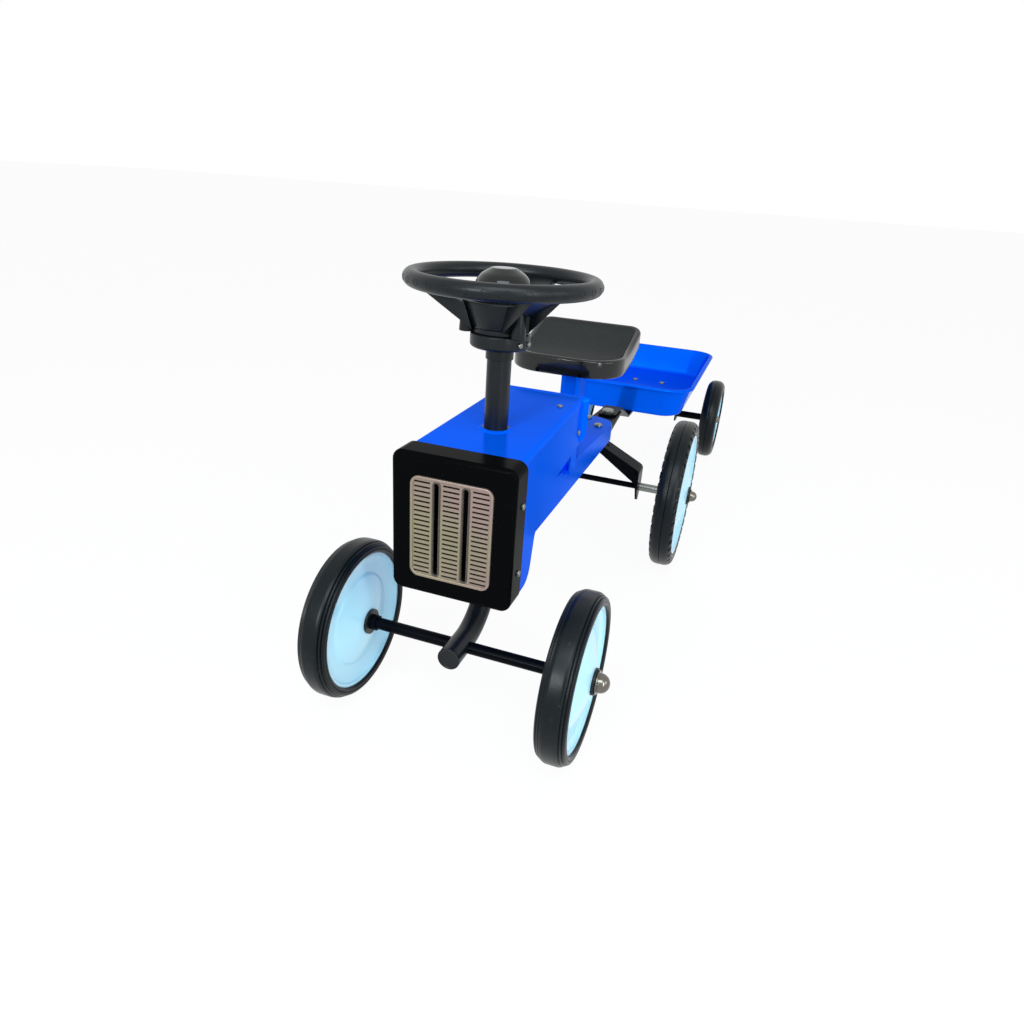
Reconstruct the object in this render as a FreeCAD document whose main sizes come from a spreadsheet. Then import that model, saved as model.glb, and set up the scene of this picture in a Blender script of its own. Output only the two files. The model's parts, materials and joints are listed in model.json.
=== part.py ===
import FreeCAD
import Part
import math
import os
import Sketcher

# A sheet-metal ride-on tractor with a towed trailer, in millimetres.
# Up is +Z, the tractor drives towards -Y and its left side is +X.
# Lengths along the tractor are measured from the front axle, and the finished
# part is shifted so that its origin is the middle of its footprint.
SIZES = {
    # stance
    "wheelbase": 427.0,
    "front_track": 225.0,
    "rear_track": 266.0,
    "trailer_track": 264.0,
    "hitch_overhang": 132.0,
    "hitch_to_trailer_axle": 366.0,
    "running_clearance": 0.05,
    "seat_clearance": 0.1,
    "free_clearance": 0.4,
    "overrun": 5.0,
    "sheet": 1.5,
    "plate": 3.0,
    # wheels
    "front_wheel_radius": 78.5,
    "rear_wheel_radius": 100.0,
    "trailer_wheel_radius": 74.5,
    "front_tyre_width": 28.0,
    "rear_tyre_width": 33.0,
    "trailer_tyre_width": 31.0,
    "front_rubber": 11.5,
    "rear_rubber": 18.0,
    "trailer_rubber": 18.0,
    "front_shoulder": 6.0,
    "rear_shoulder": 8.0,
    "trailer_shoulder": 13.5,
    "tyre_bead_round": 3.0,
    "tread_groove_width": 1.0,
    "tread_groove_depth": 0.8,
    "lug_notch_width": 6.0,
    "lug_notch_depth": 5.0,
    "lug_notch_height": 7.0,
    "rim_thickness": 3.0,
    "rim_margin": 3.0,
    "web_thickness": 1.5,
    "web_lip": 8.0,
    "web_step": 2.0,
    "front_web_half_width": 6.0,
    "rear_web_half_width": 6.0,
    "trailer_web_half_width": 2.2,
    "web_step_share": 0.66,
    "hub_radius": 14.0,
    "front_hub_half_length": 17.5,
    "rear_hub_half_length": 18.0,
    "trailer_hub_half_length": 4.8,
    "bush_outer_radius": 8.0,
    "bush_flange_radius": 12.3,
    "bush_flange_thickness": 2.5,
    "bush_gap": 0.6,
    # axles
    "front_axle_radius": 5.8,
    "rear_axle_radius": 4.0,
    "trailer_axle_radius": 4.5,
    "axle_end_gap": 0.3,
    "front_cap_radius": 9.5,
    "rear_cap_radius": 7.5,
    "trailer_cap_radius": 8.0,
    "cap_height_share": 1.25,
    "cap_round_share": 0.92,
    "cap_depth": 4.0,
    "cap_brim": 1.6,
    "cap_brim_thickness": 1.5,
    "rear_sleeve_radius": 5.6,
    "trailer_sleeve_radius": 6.5,
    "front_sleeve_radius": 7.5,
    "front_sleeve_length": 6.0,
    # steering
    "column_y": 65.4,
    "column_radius": 10.8,
    "column_wall": 2.0,
    "column_bend_radius": 55.0,
    "column_nose": 22.5,
    "column_top_z": 372.0,
    "end_cap_thickness": 2.5,
    "end_cap_plug": 8.0,
    "end_cap_round": 1.0,
    "stop_ring_radius": 15.0,
    "stop_ring_height": 8.0,
    "wheel_rim_z": 401.3,
    "wheel_rim_radius": 76.6,
    "wheel_tube_radius": 7.0,
    "spoke_width": 26.0,
    "spoke_thickness": 4.0,
    "spoke_turn": 80.0,
    "bowl_top_radius": 34.0,
    "bowl_bottom_radius": 24.0,
    "bowl_top_z": 386.0,
    "bowl_bottom_z": 358.5,
    "bowl_wall": 2.5,
    "boss_top_radius": 5.0,
    "boss_bottom_radius": 6.5,
    "boss_centre_radius": 29.5,
    "collar_radius": 26.3,
    "collar_height": 13.5,
    "collar_neck_radius": 12.2,
    "collar_neck_height": 9.0,
    "horn_base_radius": 26.0,
    "horn_top_z": 411.5,
    "horn_crown_round": 17.0,
    "horn_flange_radius": 28.5,
    "horn_flange_thickness": 2.0,
    "horn_wall": 2.0,
    "bellows_radius": 13.0,
    "bellows_wall": 1.0,
    # hood and grille
    "hood_front_y": -1.6,
    "hood_rear_y": 196.0,
    "hood_lip_length": 6.0,
    "hood_lip_flare": 5.0,
    "hood_lip_rise": 0.8,
    "hood_half_width_front": 51.0,
    "hood_half_width_rear": 47.0,
    "hood_top_front_z": 271.0,
    "hood_top_rear_z": 276.0,
    "hood_corner_round": 5.0,
    "skirt_z": 142.0,
    "skirt_length": 39.0,
    "skirt_lean": 12.0,
    "skirt_round": 18.0,
    "panel_z": 188.0,
    "panel_length": 102.0,
    "side_z": 218.0,
    "side_rise": 8.0,
    "arch_round": 9.0,
    "frame_width": 111.0,
    "frame_height": 129.5,
    "frame_bottom_z": 143.0,
    "frame_front_y": -27.7,
    "frame_depth": 26.0,
    "frame_wall": 4.5,
    "frame_corner_round": 9.0,
    "frame_edge_round": 4.0,
    "insert_width": 74.0,
    "insert_height": 93.0,
    "insert_drop": 0.5,
    "insert_round": 8.0,
    "insert_thickness": 1.2,
    "window_margin": 6.5,
    "slot_width": 14.6,
    "slot_height": 1.6,
    "slot_pitch": 4.37,
    "slot_column_pitch": 26.3,
    "groove_width": 4.4,
    "groove_margin": 4.0,
    "groove_round_share": 0.45,
    "bulkhead_y": 4.0,
    "bulkhead_reach": 18.0,
    "grille_screw_y": -10.5,
    "grille_screw_low_z": 174.5,
    "grille_screw_high_z": 236.5,
    "top_rivet_x": 33.0,
    "top_rivet_y": 157.0,
    "side_rivet_y": 186.0,
    "side_rivet_z": 242.0,
    # frame beam and seat
    "beam_front_y": 5.5,
    "beam_tail": 14.0,
    "beam_half_width": 38.0,
    "beam_bottom_z": 165.8,
    "beam_top_front_z": 210.0,
    "beam_top_rear_z": 186.0,
    "beam_tail_round": 34.0,
    "bearing_radius": 14.0,
    "bearing_proud": 5.0,
    "hood_bush_flange_radius": 19.0,
    "saddle_bolt_x": 31.0,
    "saddle_y": 184.0,
    "saddle_width": 22.0,
    "saddle_height": 42.0,
    "pedestal_lead": 99.0,
    "pedestal_width": 24.0,
    "pedestal_depth": 36.0,
    "pedestal_round": 6.0,
    "pedestal_wall": 2.0,
    "pedestal_foot": 4.0,
    "seat_lead": 169.0,
    "seat_depth": 134.0,
    "seat_half_width": 66.0,
    "seat_front_z": 302.0,
    "seat_rise": 22.0,
    "seat_skirt": 21.0,
    "seat_wall": 3.5,
    "seat_border": 9.0,
    "seat_recess": 1.2,
    "seat_front_round": 42.0,
    "seat_rear_round": 26.0,
    "seat_dip_round": 150.0,
    "seat_screw_x": 25.0,
    "seat_screw_drop": 17.0,
    # rear axle carrier and hitch
    "bracket_width": 30.0,
    "bracket_flat": 12.0,
    "bracket_elbow_x": 83.0,
    "bracket_elbow_z": 127.0,
    "bracket_tip_drop": 24.0,
    "bracket_bend_round": 5.0,
    "bracket_flange": 9.0,
    "bracket_tip_round": 5.0,
    "bracket_hole_x": 32.0,
    "bracket_hole_radius": 3.0,
    "hitch_lead": 82.0,
    "hitch_front_half_width": 32.5,
    "hitch_rear_half_width": 16.0,
    "hitch_tail_round": 9.0,
    "hitch_tail": 34.0,
    "hitch_drop": 9.0,
    "hitch_drop_lag": 25.0,
    "hitch_drop_length": 24.0,
    "hitch_pin_radius": 5.0,
    "hitch_head_radius": 9.0,
    "hitch_head_height": 5.0,
    "bracket_bolt_x": 23.5,
    "bracket_bolt_lead": 37.0,
    "spacer_radius": 5.2,
    # trailer
    "tray_front_gap": 114.6,
    "tray_length": 376.0,
    "tray_half_width": 110.5,
    "tray_rim_z": 180.0,
    "tray_floor_z": 130.0,
    "tray_draft": 12.0,
    "tray_corner_round": 46.0,
    "tray_lip": 6.0,
    "drawbar_half_width": 14.0,
    "drawbar_rise_start": 40.0,
    "drawbar_rise_length": 70.0,
    "drawbar_nose_round": 12.5,
    "trailer_bracket_half_width": 66.0,
    "trailer_bracket_width": 28.0,
    "trailer_bracket_tip": 12.0,
    "tray_bolt_x": 27.0,
    # fasteners
    "screw_head_radius": 2.8,
    "screw_head_height": 1.8,
    "screw_radius": 1.8,
    "screw_length": 8.0,
    "rivet_length": 3.5,
    "collar_screw_drop": 6.5,
    "collar_screw_turn": -18.0,
    "collar_screw_spread": 25.0,
    "collar_screw_head_radius": 2.4,
    "head_round_share": 0.6,
    "bolt_head_radius": 5.5,
    "bolt_head_height": 3.5,
    "bolt_radius": 3.0,
    "bolt_seat_margin": 2.5,
    "bolt_seat_depth": 0.6,
}
SLOT_ROWS = 20
SLOT_COLUMNS = 3
LUG_COUNT = 36
SPOKE_COUNT = 3
GROOVE_SHARES = (-0.5, -0.36, 0.36, 0.5)

document = FreeCAD.newDocument("ride_on_tractor")
sheet = document.addObject("Spreadsheet::Sheet", "Sizes")
for row, (alias, number) in enumerate(SIZES.items(), start=1):
    sheet.set(f"A{row}", alias)
    sheet.set(f"B{row}", str(number))
    sheet.setAlias(f"B{row}", alias)
document.recompute()


class Size:
    """A length that knows its value and the sheet expression that gives it."""

    def __init__(self, value, text):
        self.value = float(value)
        self.text = text

    @staticmethod
    def of(other):
        return other if isinstance(other, Size) else Size(other, repr(other))

    def join(self, other, sign, value):
        return Size(value, f"({self.text} {sign} {other.text})")

    def __add__(self, other):
        other = Size.of(other)
        return self.join(other, "+", self.value + other.value)

    def __radd__(self, other):
        return Size.of(other) + self

    def __sub__(self, other):
        other = Size.of(other)
        return self.join(other, "-", self.value - other.value)

    def __rsub__(self, other):
        return Size.of(other) - self

    def __mul__(self, other):
        other = Size.of(other)
        return self.join(other, "*", self.value * other.value)

    def __rmul__(self, other):
        return Size.of(other) * self

    def __truediv__(self, other):
        other = Size.of(other)
        return self.join(other, "/", self.value / other.value)

    def __neg__(self):
        return Size(-self.value, f"(-1 * {self.text})")

    def __float__(self):
        return self.value


class SizeTable:
    """Each alias of the sheet as an attribute."""

    def __getattr__(self, alias):
        return Size(sheet.get(alias), f"Sizes.{alias}")


S = SizeTable()
NOUGHT = Size(0.0, "0")
TAIL_Y = S.wheelbase + S.hitch_overhang + S.tray_front_gap + S.tray_length
SHIFT = (TAIL_Y - S.front_wheel_radius) / 2
HITCH_Y = S.wheelbase + S.hitch_overhang
TRAILER_AXLE_Y = HITCH_Y + S.hitch_to_trailer_axle
BEAM_REAR_Y = S.wheelbase + S.beam_tail
SEAT_FRONT_Y = S.wheelbase - S.seat_lead
PEDESTAL_Y = S.wheelbase - S.pedestal_lead
CARRIER_BOLT_Y = S.wheelbase - S.bracket_bolt_lead
HITCH_FRONT_Y = S.wheelbase - S.hitch_lead
COLUMN_LOW_Z = S.front_wheel_radius
HITCH_TOP_Z = S.beam_bottom_z
PIN_TOP_Z = HITCH_TOP_Z - S.hitch_drop
TRAY_BOLT_Z = S.tray_floor_z - S.bolt_seat_depth
nodes = []


def keep(thing, label):
    """Name a finished piece, which makes it one of the part's nodes."""
    thing.Label = label
    nodes.append(thing)
    return thing


def bind(thing, **values):
    """Tie properties of an object to the sheet."""
    for name, value in values.items():
        thing.setExpression(name.replace("__", "."), Size.of(value).text)
    return thing


def place(thing, x=NOUGHT, y=NOUGHT, z=NOUGHT, axis=None, angle=0):
    """Put an object in the part's frame; y is measured from the front axle."""
    if axis is not None:
        turn = FreeCAD.Rotation(FreeCAD.Vector(*axis), angle)
        thing.Placement = FreeCAD.Placement(FreeCAD.Vector(), turn)
    return bind(thing, Placement__Base__x=x, Placement__Base__y=y - SHIFT, Placement__Base__z=z)


def new_body(name):
    return document.addObject("PartDesign::Body", name)


def new_sketch(body, plane, offset=None):
    """A sketch on one of the body's own origin planes, or parallel to it."""
    sketch = body.newObject("Sketcher::SketchObject", body.Name + "_sketch")
    support = next(f for f in body.Origin.OriginFeatures if f.Role == plane + "_Plane")
    sketch.AttachmentSupport = (support, [""])
    sketch.MapMode = "FlatFace"
    if offset is not None:
        bind(sketch, AttachmentOffset__Base__z=offset)
    return sketch


def pin_point(sketch, geometry, end, x, y):
    """Hold one point of a sketch at a place given by the sheet."""
    for kind, axis, value in (("DistanceX", -2, Size.of(x)), ("DistanceY", -1, Size.of(y))):
        if value.text == NOUGHT.text:
            sketch.addConstraint(Sketcher.Constraint("PointOnObject", geometry, end, axis))
            continue
        ends = (-1, 1, geometry, end) if value.value >= 0 else (geometry, end, -1, 1)
        index = sketch.addConstraint(Sketcher.Constraint(kind, *ends, abs(value.value)))
        text = value.text if value.value >= 0 else (-value).text
        sketch.setExpression(f"Constraints[{index}]", text)


def flat(x, y):
    return FreeCAD.Vector(float(x), float(y), 0)


def draw_outline(sketch, corners):
    """A closed outline; a corner is (x, y) or, where it is rounded, (x, y, radius)."""
    points = [flat(c[0], c[1]) for c in corners]
    radii = [c[2] if len(c) > 2 else None for c in corners]
    count = len(corners)
    ends = []
    for i, point in enumerate(points):
        before = (points[i - 1] - point).normalize()
        after = (points[(i + 1) % count] - point).normalize()
        if radii[i] is None:
            ends.append((point, point, None))
            continue
        half_angle = before.getAngle(after) / 2
        reach = float(radii[i]) / math.tan(half_angle)
        middle = (before + after).normalize()
        deep = float(radii[i]) / math.sin(half_angle) - float(radii[i])
        ends.append((point + before * reach, point + after * reach, point + middle * deep))
    lines = []
    for i in range(count):
        segment = Part.LineSegment(ends[i][1], ends[(i + 1) % count][0])
        lines.append(sketch.addGeometry(segment, False))
    for i, corner in enumerate(corners):
        incoming, outgoing = lines[i - 1], lines[i]
        if radii[i] is None:
            sketch.addConstraint(Sketcher.Constraint("Coincident", incoming, 2, outgoing, 1))
            pin_point(sketch, outgoing, 1, corner[0], corner[1])
            continue
        mark = sketch.addGeometry(Part.Point(points[i]), True)
        pin_point(sketch, mark, 1, corner[0], corner[1])
        sketch.addConstraint(Sketcher.Constraint("PointOnObject", mark, 1, incoming))
        sketch.addConstraint(Sketcher.Constraint("PointOnObject", mark, 1, outgoing))
        arc = sketch.addGeometry(Part.Arc(ends[i][0], ends[i][2], ends[i][1]), False)
        starts_here = sketch.getPoint(arc, 1).distanceToPoint(ends[i][0])
        starts_there = sketch.getPoint(arc, 1).distanceToPoint(ends[i][1])
        first, last = (1, 2) if starts_here < starts_there else (2, 1)
        sketch.addConstraint(Sketcher.Constraint("Tangent", incoming, 2, arc, first))
        sketch.addConstraint(Sketcher.Constraint("Tangent", outgoing, 1, arc, last))
        index = sketch.addConstraint(Sketcher.Constraint("Radius", arc, float(radii[i])))
        sketch.setExpression(f"Constraints[{index}]", Size.of(radii[i]).text)


def draw_circle(sketch, x, y, radius):
    circle = Part.Circle(flat(x, y), FreeCAD.Vector(0, 0, 1), float(radius))
    geometry = sketch.addGeometry(circle, False)
    pin_point(sketch, geometry, 3, x, y)
    index = sketch.addConstraint(Sketcher.Constraint("Radius", geometry, float(radius)))
    sketch.setExpression(f"Constraints[{index}]", Size.of(radius).text)


def rectangle(x0, y0, x1, y1, radius=None):
    corners = [(x0, y0), (x1, y0), (x1, y1), (x0, y1)]
    return [c + (radius,) for c in corners] if radius is not None else corners


def feature(body, kind, sketch, **values):
    """Add a sketch-based feature to a body."""
    made = body.newObject("PartDesign::" + kind, body.Name + "_" + kind.lower())
    made.Profile = sketch
    bind(made, **values)
    body.Tip = made
    return made


def revolved(name, corners, axis="H_Axis", plane="XY"):
    """A body turned about an axis of its sketch."""
    body = new_body(name)
    sketch = new_sketch(body, plane)
    draw_outline(sketch, corners)
    turned = feature(body, "Revolution", sketch)
    turned.ReferenceAxis = (sketch, [axis])
    turned.Angle = 360
    return body


def padded(name, plane, outlines, length, offset=None, both=False):
    """A body padded from outlines and circles along the plane's normal."""
    body = new_body(name)
    sketch = new_sketch(body, plane, offset)
    for outline in outlines:
        if isinstance(outline, tuple):
            draw_circle(sketch, *outline)
        else:
            draw_outline(sketch, outline)
    pad = feature(body, "Pad", sketch, Length=length)
    if both:
        pad.SideType = "Symmetric"
    return body


def rod(name, radius, length):
    """A plain cylinder that stands on its own origin."""
    made = document.addObject("Part::Cylinder", name)
    bind(made, Radius=radius, Height=length)
    return made


def cut(base, *tools):
    """Base less every tool."""
    for tool in tools:
        made = document.addObject("Part::Cut", base.Name + "_cut")
        made.Base = base
        made.Tool = tool
        base = made
    return base


def common(first, second):
    made = document.addObject("Part::Common", first.Name + "_common")
    made.Base = first
    made.Tool = second
    return made


def fused(*shapes):
    made = document.addObject("Part::MultiFuse", shapes[0].Name + "_fused")
    made.Shapes = list(shapes)
    return made


def group(*shapes):
    made = document.addObject("Part::Compound", shapes[0].Name + "_group")
    made.Links = list(shapes)
    return made


def mirrored(shape):
    """The same piece on the other side of the tractor."""
    made = document.addObject("Part::Mirroring", shape.Name + "_mirror")
    made.Source = shape
    made.Normal = FreeCAD.Vector(1, 0, 0)
    return made


def pair(shape):
    return group(shape, mirrored(shape))


def upright_rod(name, radius, x, y, z, length):
    return place(rod(name, radius, length), x, y, z)


def cross_rod(name, radius, x, y, z, length):
    """A cylinder along X from the point given."""
    return place(rod(name, radius, length), x, y, z, (0, 1, 0), 90)


def beam_top(y):
    """Height of the beam's top face, which falls towards the rear."""
    fall = (S.beam_top_front_z - S.beam_top_rear_z) / (BEAM_REAR_Y - S.beam_front_y)
    return S.beam_top_front_z - fall * (y - S.beam_front_y)


# wheels

def tyre_outline(kind):
    """Half section of a rubber tyre, axial by radial."""
    radius = getattr(S, kind + "_wheel_radius")
    half = getattr(S, kind + "_tyre_width") / 2
    bead = radius - getattr(S, kind + "_rubber")
    shoulder = getattr(S, kind + "_shoulder")
    tread = []
    if kind == "front":
        for share in GROOVE_SHARES:
            x = share * half
            tread.append((x - S.tread_groove_width / 2, radius))
            tread.append((x, radius - S.tread_groove_depth))
            tread.append((x + S.tread_groove_width / 2, radius))
    start = [(half, bead, S.tyre_bead_round), (-half, bead, S.tyre_bead_round)]
    return start + [(-half, radius, shoulder)] + tread + [(half, radius, shoulder)]


def notch_tyre(body):
    """Cut the rear tyre's lugs into both shoulders, half a pitch apart."""
    half = S.rear_tyre_width / 2
    for side in (1, -1):
        sketch = new_sketch(body, "XY", S.rear_wheel_radius + S.overrun)
        mouth = side * (half + S.overrun)
        root = side * (half - S.lug_notch_depth)
        slant = S.lug_notch_width / 2
        draw_outline(sketch, [(mouth, -slant), (root, -slant / 2), (root, slant / 2), (mouth, slant)])
        notch = feature(body, "Pocket", sketch, Length=S.lug_notch_height + S.overrun)
        ring = body.newObject("PartDesign::PolarPattern", body.Name + "_lugs")
        ring.Originals = [notch]
        ring.Axis = (next(f for f in body.Origin.OriginFeatures if f.Role == "X_Axis"), [""])
        ring.Angle = 360
        ring.Occurrences = LUG_COUNT
        body.Tip = ring


def hub_face(kind):
    """Distance from a wheel's middle to the end of its hub."""
    return getattr(S, kind + "_hub_half_length")


def disc_outline(kind):
    """Section of a disc pressed from two walls that bulge to the hub, axial by radial."""
    rim = getattr(S, kind + "_wheel_radius") - getattr(S, kind + "_rubber")
    half = getattr(S, kind + "_tyre_width") / 2 - S.rim_margin
    web = getattr(S, kind + "_web_half_width")
    hub = hub_face(kind)
    wall = S.web_thickness
    under = rim - S.rim_thickness
    bore = S.bush_outer_radius + S.seat_clearance
    step = rim * S.web_step_share
    face = [
        (hub, bore),
        (hub, S.hub_radius),
        (web + S.web_step, step),
        (web, step + S.web_step),
        (web, under - S.web_lip),
        (half, under),
    ]
    back = [(x - wall, r) for x, r in face]
    outside = face + [(half, rim)]
    far_outside = [(-x, r) for x, r in reversed(outside)]
    far_back = [(-x, r) for x, r in back]
    return outside + far_outside + far_back + back[::-1]


def bush_outline(kind, axle_radius):
    """A flanged plain bush, one for each end of the hub."""
    bore = axle_radius + S.running_clearance
    face = hub_face(kind)
    outer = face + S.bush_flange_thickness
    return [
        (S.bush_gap, bore),
        (outer, bore),
        (outer, S.bush_flange_radius),
        (face, S.bush_flange_radius),
        (face, S.bush_outer_radius),
        (S.bush_gap, S.bush_outer_radius),
    ]


def make_wheel(kind, side_name, side, track, y, axle_radius):
    """One wheel: tyre, disc and a pair of bushes about its own axle."""
    label = kind + "_{}_" + side_name
    radius = getattr(S, kind + "_wheel_radius")
    turn = 0 if side > 0 else 180
    spot = dict(x=side * track / 2, y=y, z=radius, axis=(0, 0, 1), angle=turn)
    tyre = revolved(label.format("tyre"), tyre_outline(kind))
    if kind == "rear":
        document.recompute()
        notch_tyre(tyre)
    keep(place(tyre, **spot), label.format("tyre"))
    disc = revolved(label.format("disc"), disc_outline(kind))
    keep(place(disc, **spot), label.format("disc"))
    bush = revolved(label.format("bush_half"), bush_outline(kind, axle_radius))
    keep(place(pair(bush), **spot), label.format("bushes"))


def cap_outline(radius, axle_radius, face):
    """A domed push-on cap with a narrow brim, outwards along +x."""
    bore = axle_radius + S.seat_clearance
    brim = face + S.cap_brim_thickness
    crown = face + radius * S.cap_height_share
    return [
        (face, bore),
        (face, radius + S.cap_brim),
        (brim, radius + S.cap_brim),
        (brim, radius),
        (crown, radius, radius * S.cap_round_share),
        (crown, NOUGHT),
        (face + S.cap_depth, NOUGHT),
        (face + S.cap_depth, bore),
    ]


def make_axle(kind, track, y, axle_radius, height):
    """An axle across the tractor with a domed cap on each end."""
    face = track / 2 + hub_face(kind) + S.bush_flange_thickness + S.axle_end_gap
    radius = getattr(S, kind + "_cap_radius")
    end = face + S.cap_depth - S.seat_clearance
    axle = cross_rod(kind + "_axle", axle_radius, -end, y, height, 2 * end)
    cap = revolved(kind + "_cap", cap_outline(radius, axle_radius, face))
    place(cap, y=y, z=height)
    keep(pair(cap), kind + "_axle_caps")
    return axle


AXLES = {
    "front": (S.front_track, NOUGHT, S.front_axle_radius),
    "rear": (S.rear_track, S.wheelbase, S.rear_axle_radius),
    "trailer": (S.trailer_track, TRAILER_AXLE_Y, S.trailer_axle_radius),
}
for kind, (track, y, axle_radius) in AXLES.items():
    for side_name, side in (("left", 1), ("right", -1)):
        make_wheel(kind, side_name, side, track, y, axle_radius)
    height = getattr(S, kind + "_wheel_radius")
    keep(make_axle(kind, track, y, axle_radius, height), kind + "_axle")


# steering column, wheel and horn

def make_column():
    """A tube that drops from the steering wheel and bends forward over the front axle."""
    body = new_body("steering_column_tube")
    path = new_sketch(body, "YZ")
    bend = S.column_bend_radius
    low = COLUMN_LOW_Z
    upright = Part.LineSegment(flat(S.column_y, S.column_top_z), flat(S.column_y, low + bend))
    top = path.addGeometry(upright, False)
    corner = flat(S.column_y - bend, low + bend)
    quarter = math.pi / 2
    sweep = Part.ArcOfCircle(Part.Circle(corner, FreeCAD.Vector(0, 0, 1), float(bend)), -quarter, 0)
    arc = path.addGeometry(sweep, False)
    level = Part.LineSegment(flat(S.column_y - bend, low), flat(-S.column_nose, low))
    nose = path.addGeometry(level, False)
    pin_point(path, top, 1, S.column_y, S.column_top_z)
    pin_point(path, arc, 3, S.column_y - bend, low + bend)
    path.addConstraint(Sketcher.Constraint("Vertical", top))
    path.addConstraint(Sketcher.Constraint("Tangent", top, 2, arc, 2))
    path.addConstraint(Sketcher.Constraint("Tangent", nose, 1, arc, 1))
    pin_point(path, nose, 2, -S.column_nose, low)
    section = new_sketch(body, "XY", S.column_top_z)
    draw_circle(section, NOUGHT, S.column_y, S.column_radius)
    draw_circle(section, NOUGHT, S.column_y, S.column_radius - S.column_wall)
    pipe = body.newObject("PartDesign::AdditivePipe", "steering_column_pipe")
    pipe.Profile = section
    pipe.Spine = (path, ["Edge1", "Edge2", "Edge3"])
    body.Tip = pipe
    place(body)
    reach = S.column_radius + S.overrun
    radius = S.front_axle_radius + S.seat_clearance
    return cut(body, cross_rod("column_axle_hole", radius, -reach, NOUGHT, low, 2 * reach))


def make_end_cap():
    """The round plug in the column's front end."""
    head = S.end_cap_thickness
    plug = S.column_radius - S.column_wall - S.seat_clearance
    outline = [
        (NOUGHT, NOUGHT),
        (-S.end_cap_plug, NOUGHT),
        (-S.end_cap_plug, plug),
        (NOUGHT, plug),
        (NOUGHT, S.column_radius),
        (head, S.column_radius, S.end_cap_round),
        (head, NOUGHT),
    ]
    cap = revolved("end_cap", outline)
    return place(cap, y=-S.column_nose, z=COLUMN_LOW_Z, axis=(0, 0, 1), angle=-90)


def make_steering_wheel():
    """Rim, hollow hub bowl, three sloping spokes and a screw boss by each spoke."""
    rim = document.addObject("Part::Torus", "wheel_rim")
    bind(rim, Radius1=S.wheel_rim_radius, Radius2=S.wheel_tube_radius)
    place(rim, y=S.column_y, z=S.wheel_rim_z)
    wall = S.bowl_wall
    floor = S.bowl_bottom_z + wall
    neck = S.column_radius + S.seat_clearance
    mouth = S.horn_base_radius + S.free_clearance
    bowl = revolved("hub_bowl", [
        (neck, S.bowl_bottom_z),
        (S.bowl_bottom_radius, S.bowl_bottom_z),
        (S.bowl_top_radius, S.bowl_top_z),
        (mouth, S.bowl_top_z),
        (mouth, S.bowl_top_z - wall),
        (S.bowl_top_radius - wall, S.bowl_top_z - wall),
        (S.bowl_bottom_radius - wall, floor),
        (neck, floor),
    ], "V_Axis", "XZ")
    place(bowl, y=S.column_y)
    pieces = [rim, bowl]
    for number in range(SPOKE_COUNT):
        turn = number * 360 / SPOKE_COUNT
        inner = S.bowl_bottom_radius
        outer = S.wheel_rim_radius
        low = S.bowl_bottom_z + wall
        high = S.wheel_rim_z - S.spoke_thickness / 2
        spoke = padded("spoke", "XZ", [[
            (inner, low),
            (inner + S.spoke_thickness, low),
            (outer, high),
            (outer, high + S.spoke_thickness),
            (S.bowl_top_radius, S.bowl_top_z - wall),
            (S.bowl_top_radius - wall, S.bowl_top_z - wall),
        ]], S.spoke_width, both=True)
        boss = document.addObject("Part::Cone", "boss")
        bind(boss, Radius1=S.boss_bottom_radius, Radius2=S.boss_top_radius)
        bind(boss, Height=S.bowl_top_z - wall - S.bowl_bottom_z)
        place(boss, S.boss_centre_radius, SHIFT, S.bowl_bottom_z)
        arm = fused(spoke, boss)
        place(arm, y=S.column_y, axis=(0, 0, 1), angle=turn)
        arm.setExpression("Placement.Rotation.Angle", f"Sizes.spoke_turn + {turn}")
        hollow = revolved("bowl_hollow", [
            (NOUGHT, floor),
            (S.bowl_bottom_radius - wall, floor),
            (S.bowl_top_radius - wall, S.bowl_top_z - wall),
            (mouth, S.bowl_top_z - wall),
            (mouth, S.wheel_rim_z + S.overrun),
            (NOUGHT, S.wheel_rim_z + S.overrun),
        ], "V_Axis", "XZ")
        place(hollow, y=S.column_y)
        pieces.append(cut(arm, hollow))
    return fused(*pieces)


def make_collar():
    """The clamp collar under the bowl, with its neck round the column."""
    bore = S.column_radius + S.seat_clearance
    top = S.bowl_bottom_z
    shelf = top - S.collar_height
    low = shelf - S.collar_neck_height
    outline = [
        (bore, low),
        (S.collar_neck_radius, low),
        (S.collar_neck_radius, shelf),
        (S.collar_radius, shelf, S.end_cap_round),
        (S.collar_radius, top),
        (bore, top),
    ]
    collar = place(revolved("collar", outline, "V_Axis", "XZ"), y=S.column_y)
    reach = S.collar_radius + S.overrun
    radius = S.screw_radius + S.seat_clearance
    cutter = [(NOUGHT, NOUGHT), (reach, NOUGHT), (reach, radius), (NOUGHT, radius)]
    return cut(collar, *round_column("collar_screw_hole", cutter))


def collar_screw_turns():
    """Directions of the two clamp screws, side by side towards the front left."""
    spread = S.collar_screw_spread / 2
    return [S.collar_screw_turn - spread, S.collar_screw_turn + spread]


def round_column(name, outline):
    """The same turned piece aimed outwards at each clamp screw's place."""
    made = []
    z = S.bowl_bottom_z - S.collar_screw_drop
    for turn in collar_screw_turns():
        piece = revolved(name, outline)
        place(piece, y=S.column_y, z=z, axis=(0, 0, 1), angle=float(turn))
        piece.setExpression("Placement.Rotation.Angle", turn.text)
        made.append(piece)
    return made


def make_collar_screws():
    seat = S.collar_radius
    point = seat - S.screw_length
    crown = seat + S.screw_head_height
    return group(*round_column("collar_screw", [
        (point, NOUGHT),
        (crown, NOUGHT),
        (crown, S.collar_screw_head_radius, S.screw_head_height * S.head_round_share),
        (seat, S.collar_screw_head_radius),
        (seat, S.screw_radius),
        (point, S.screw_radius),
    ]))


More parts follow.
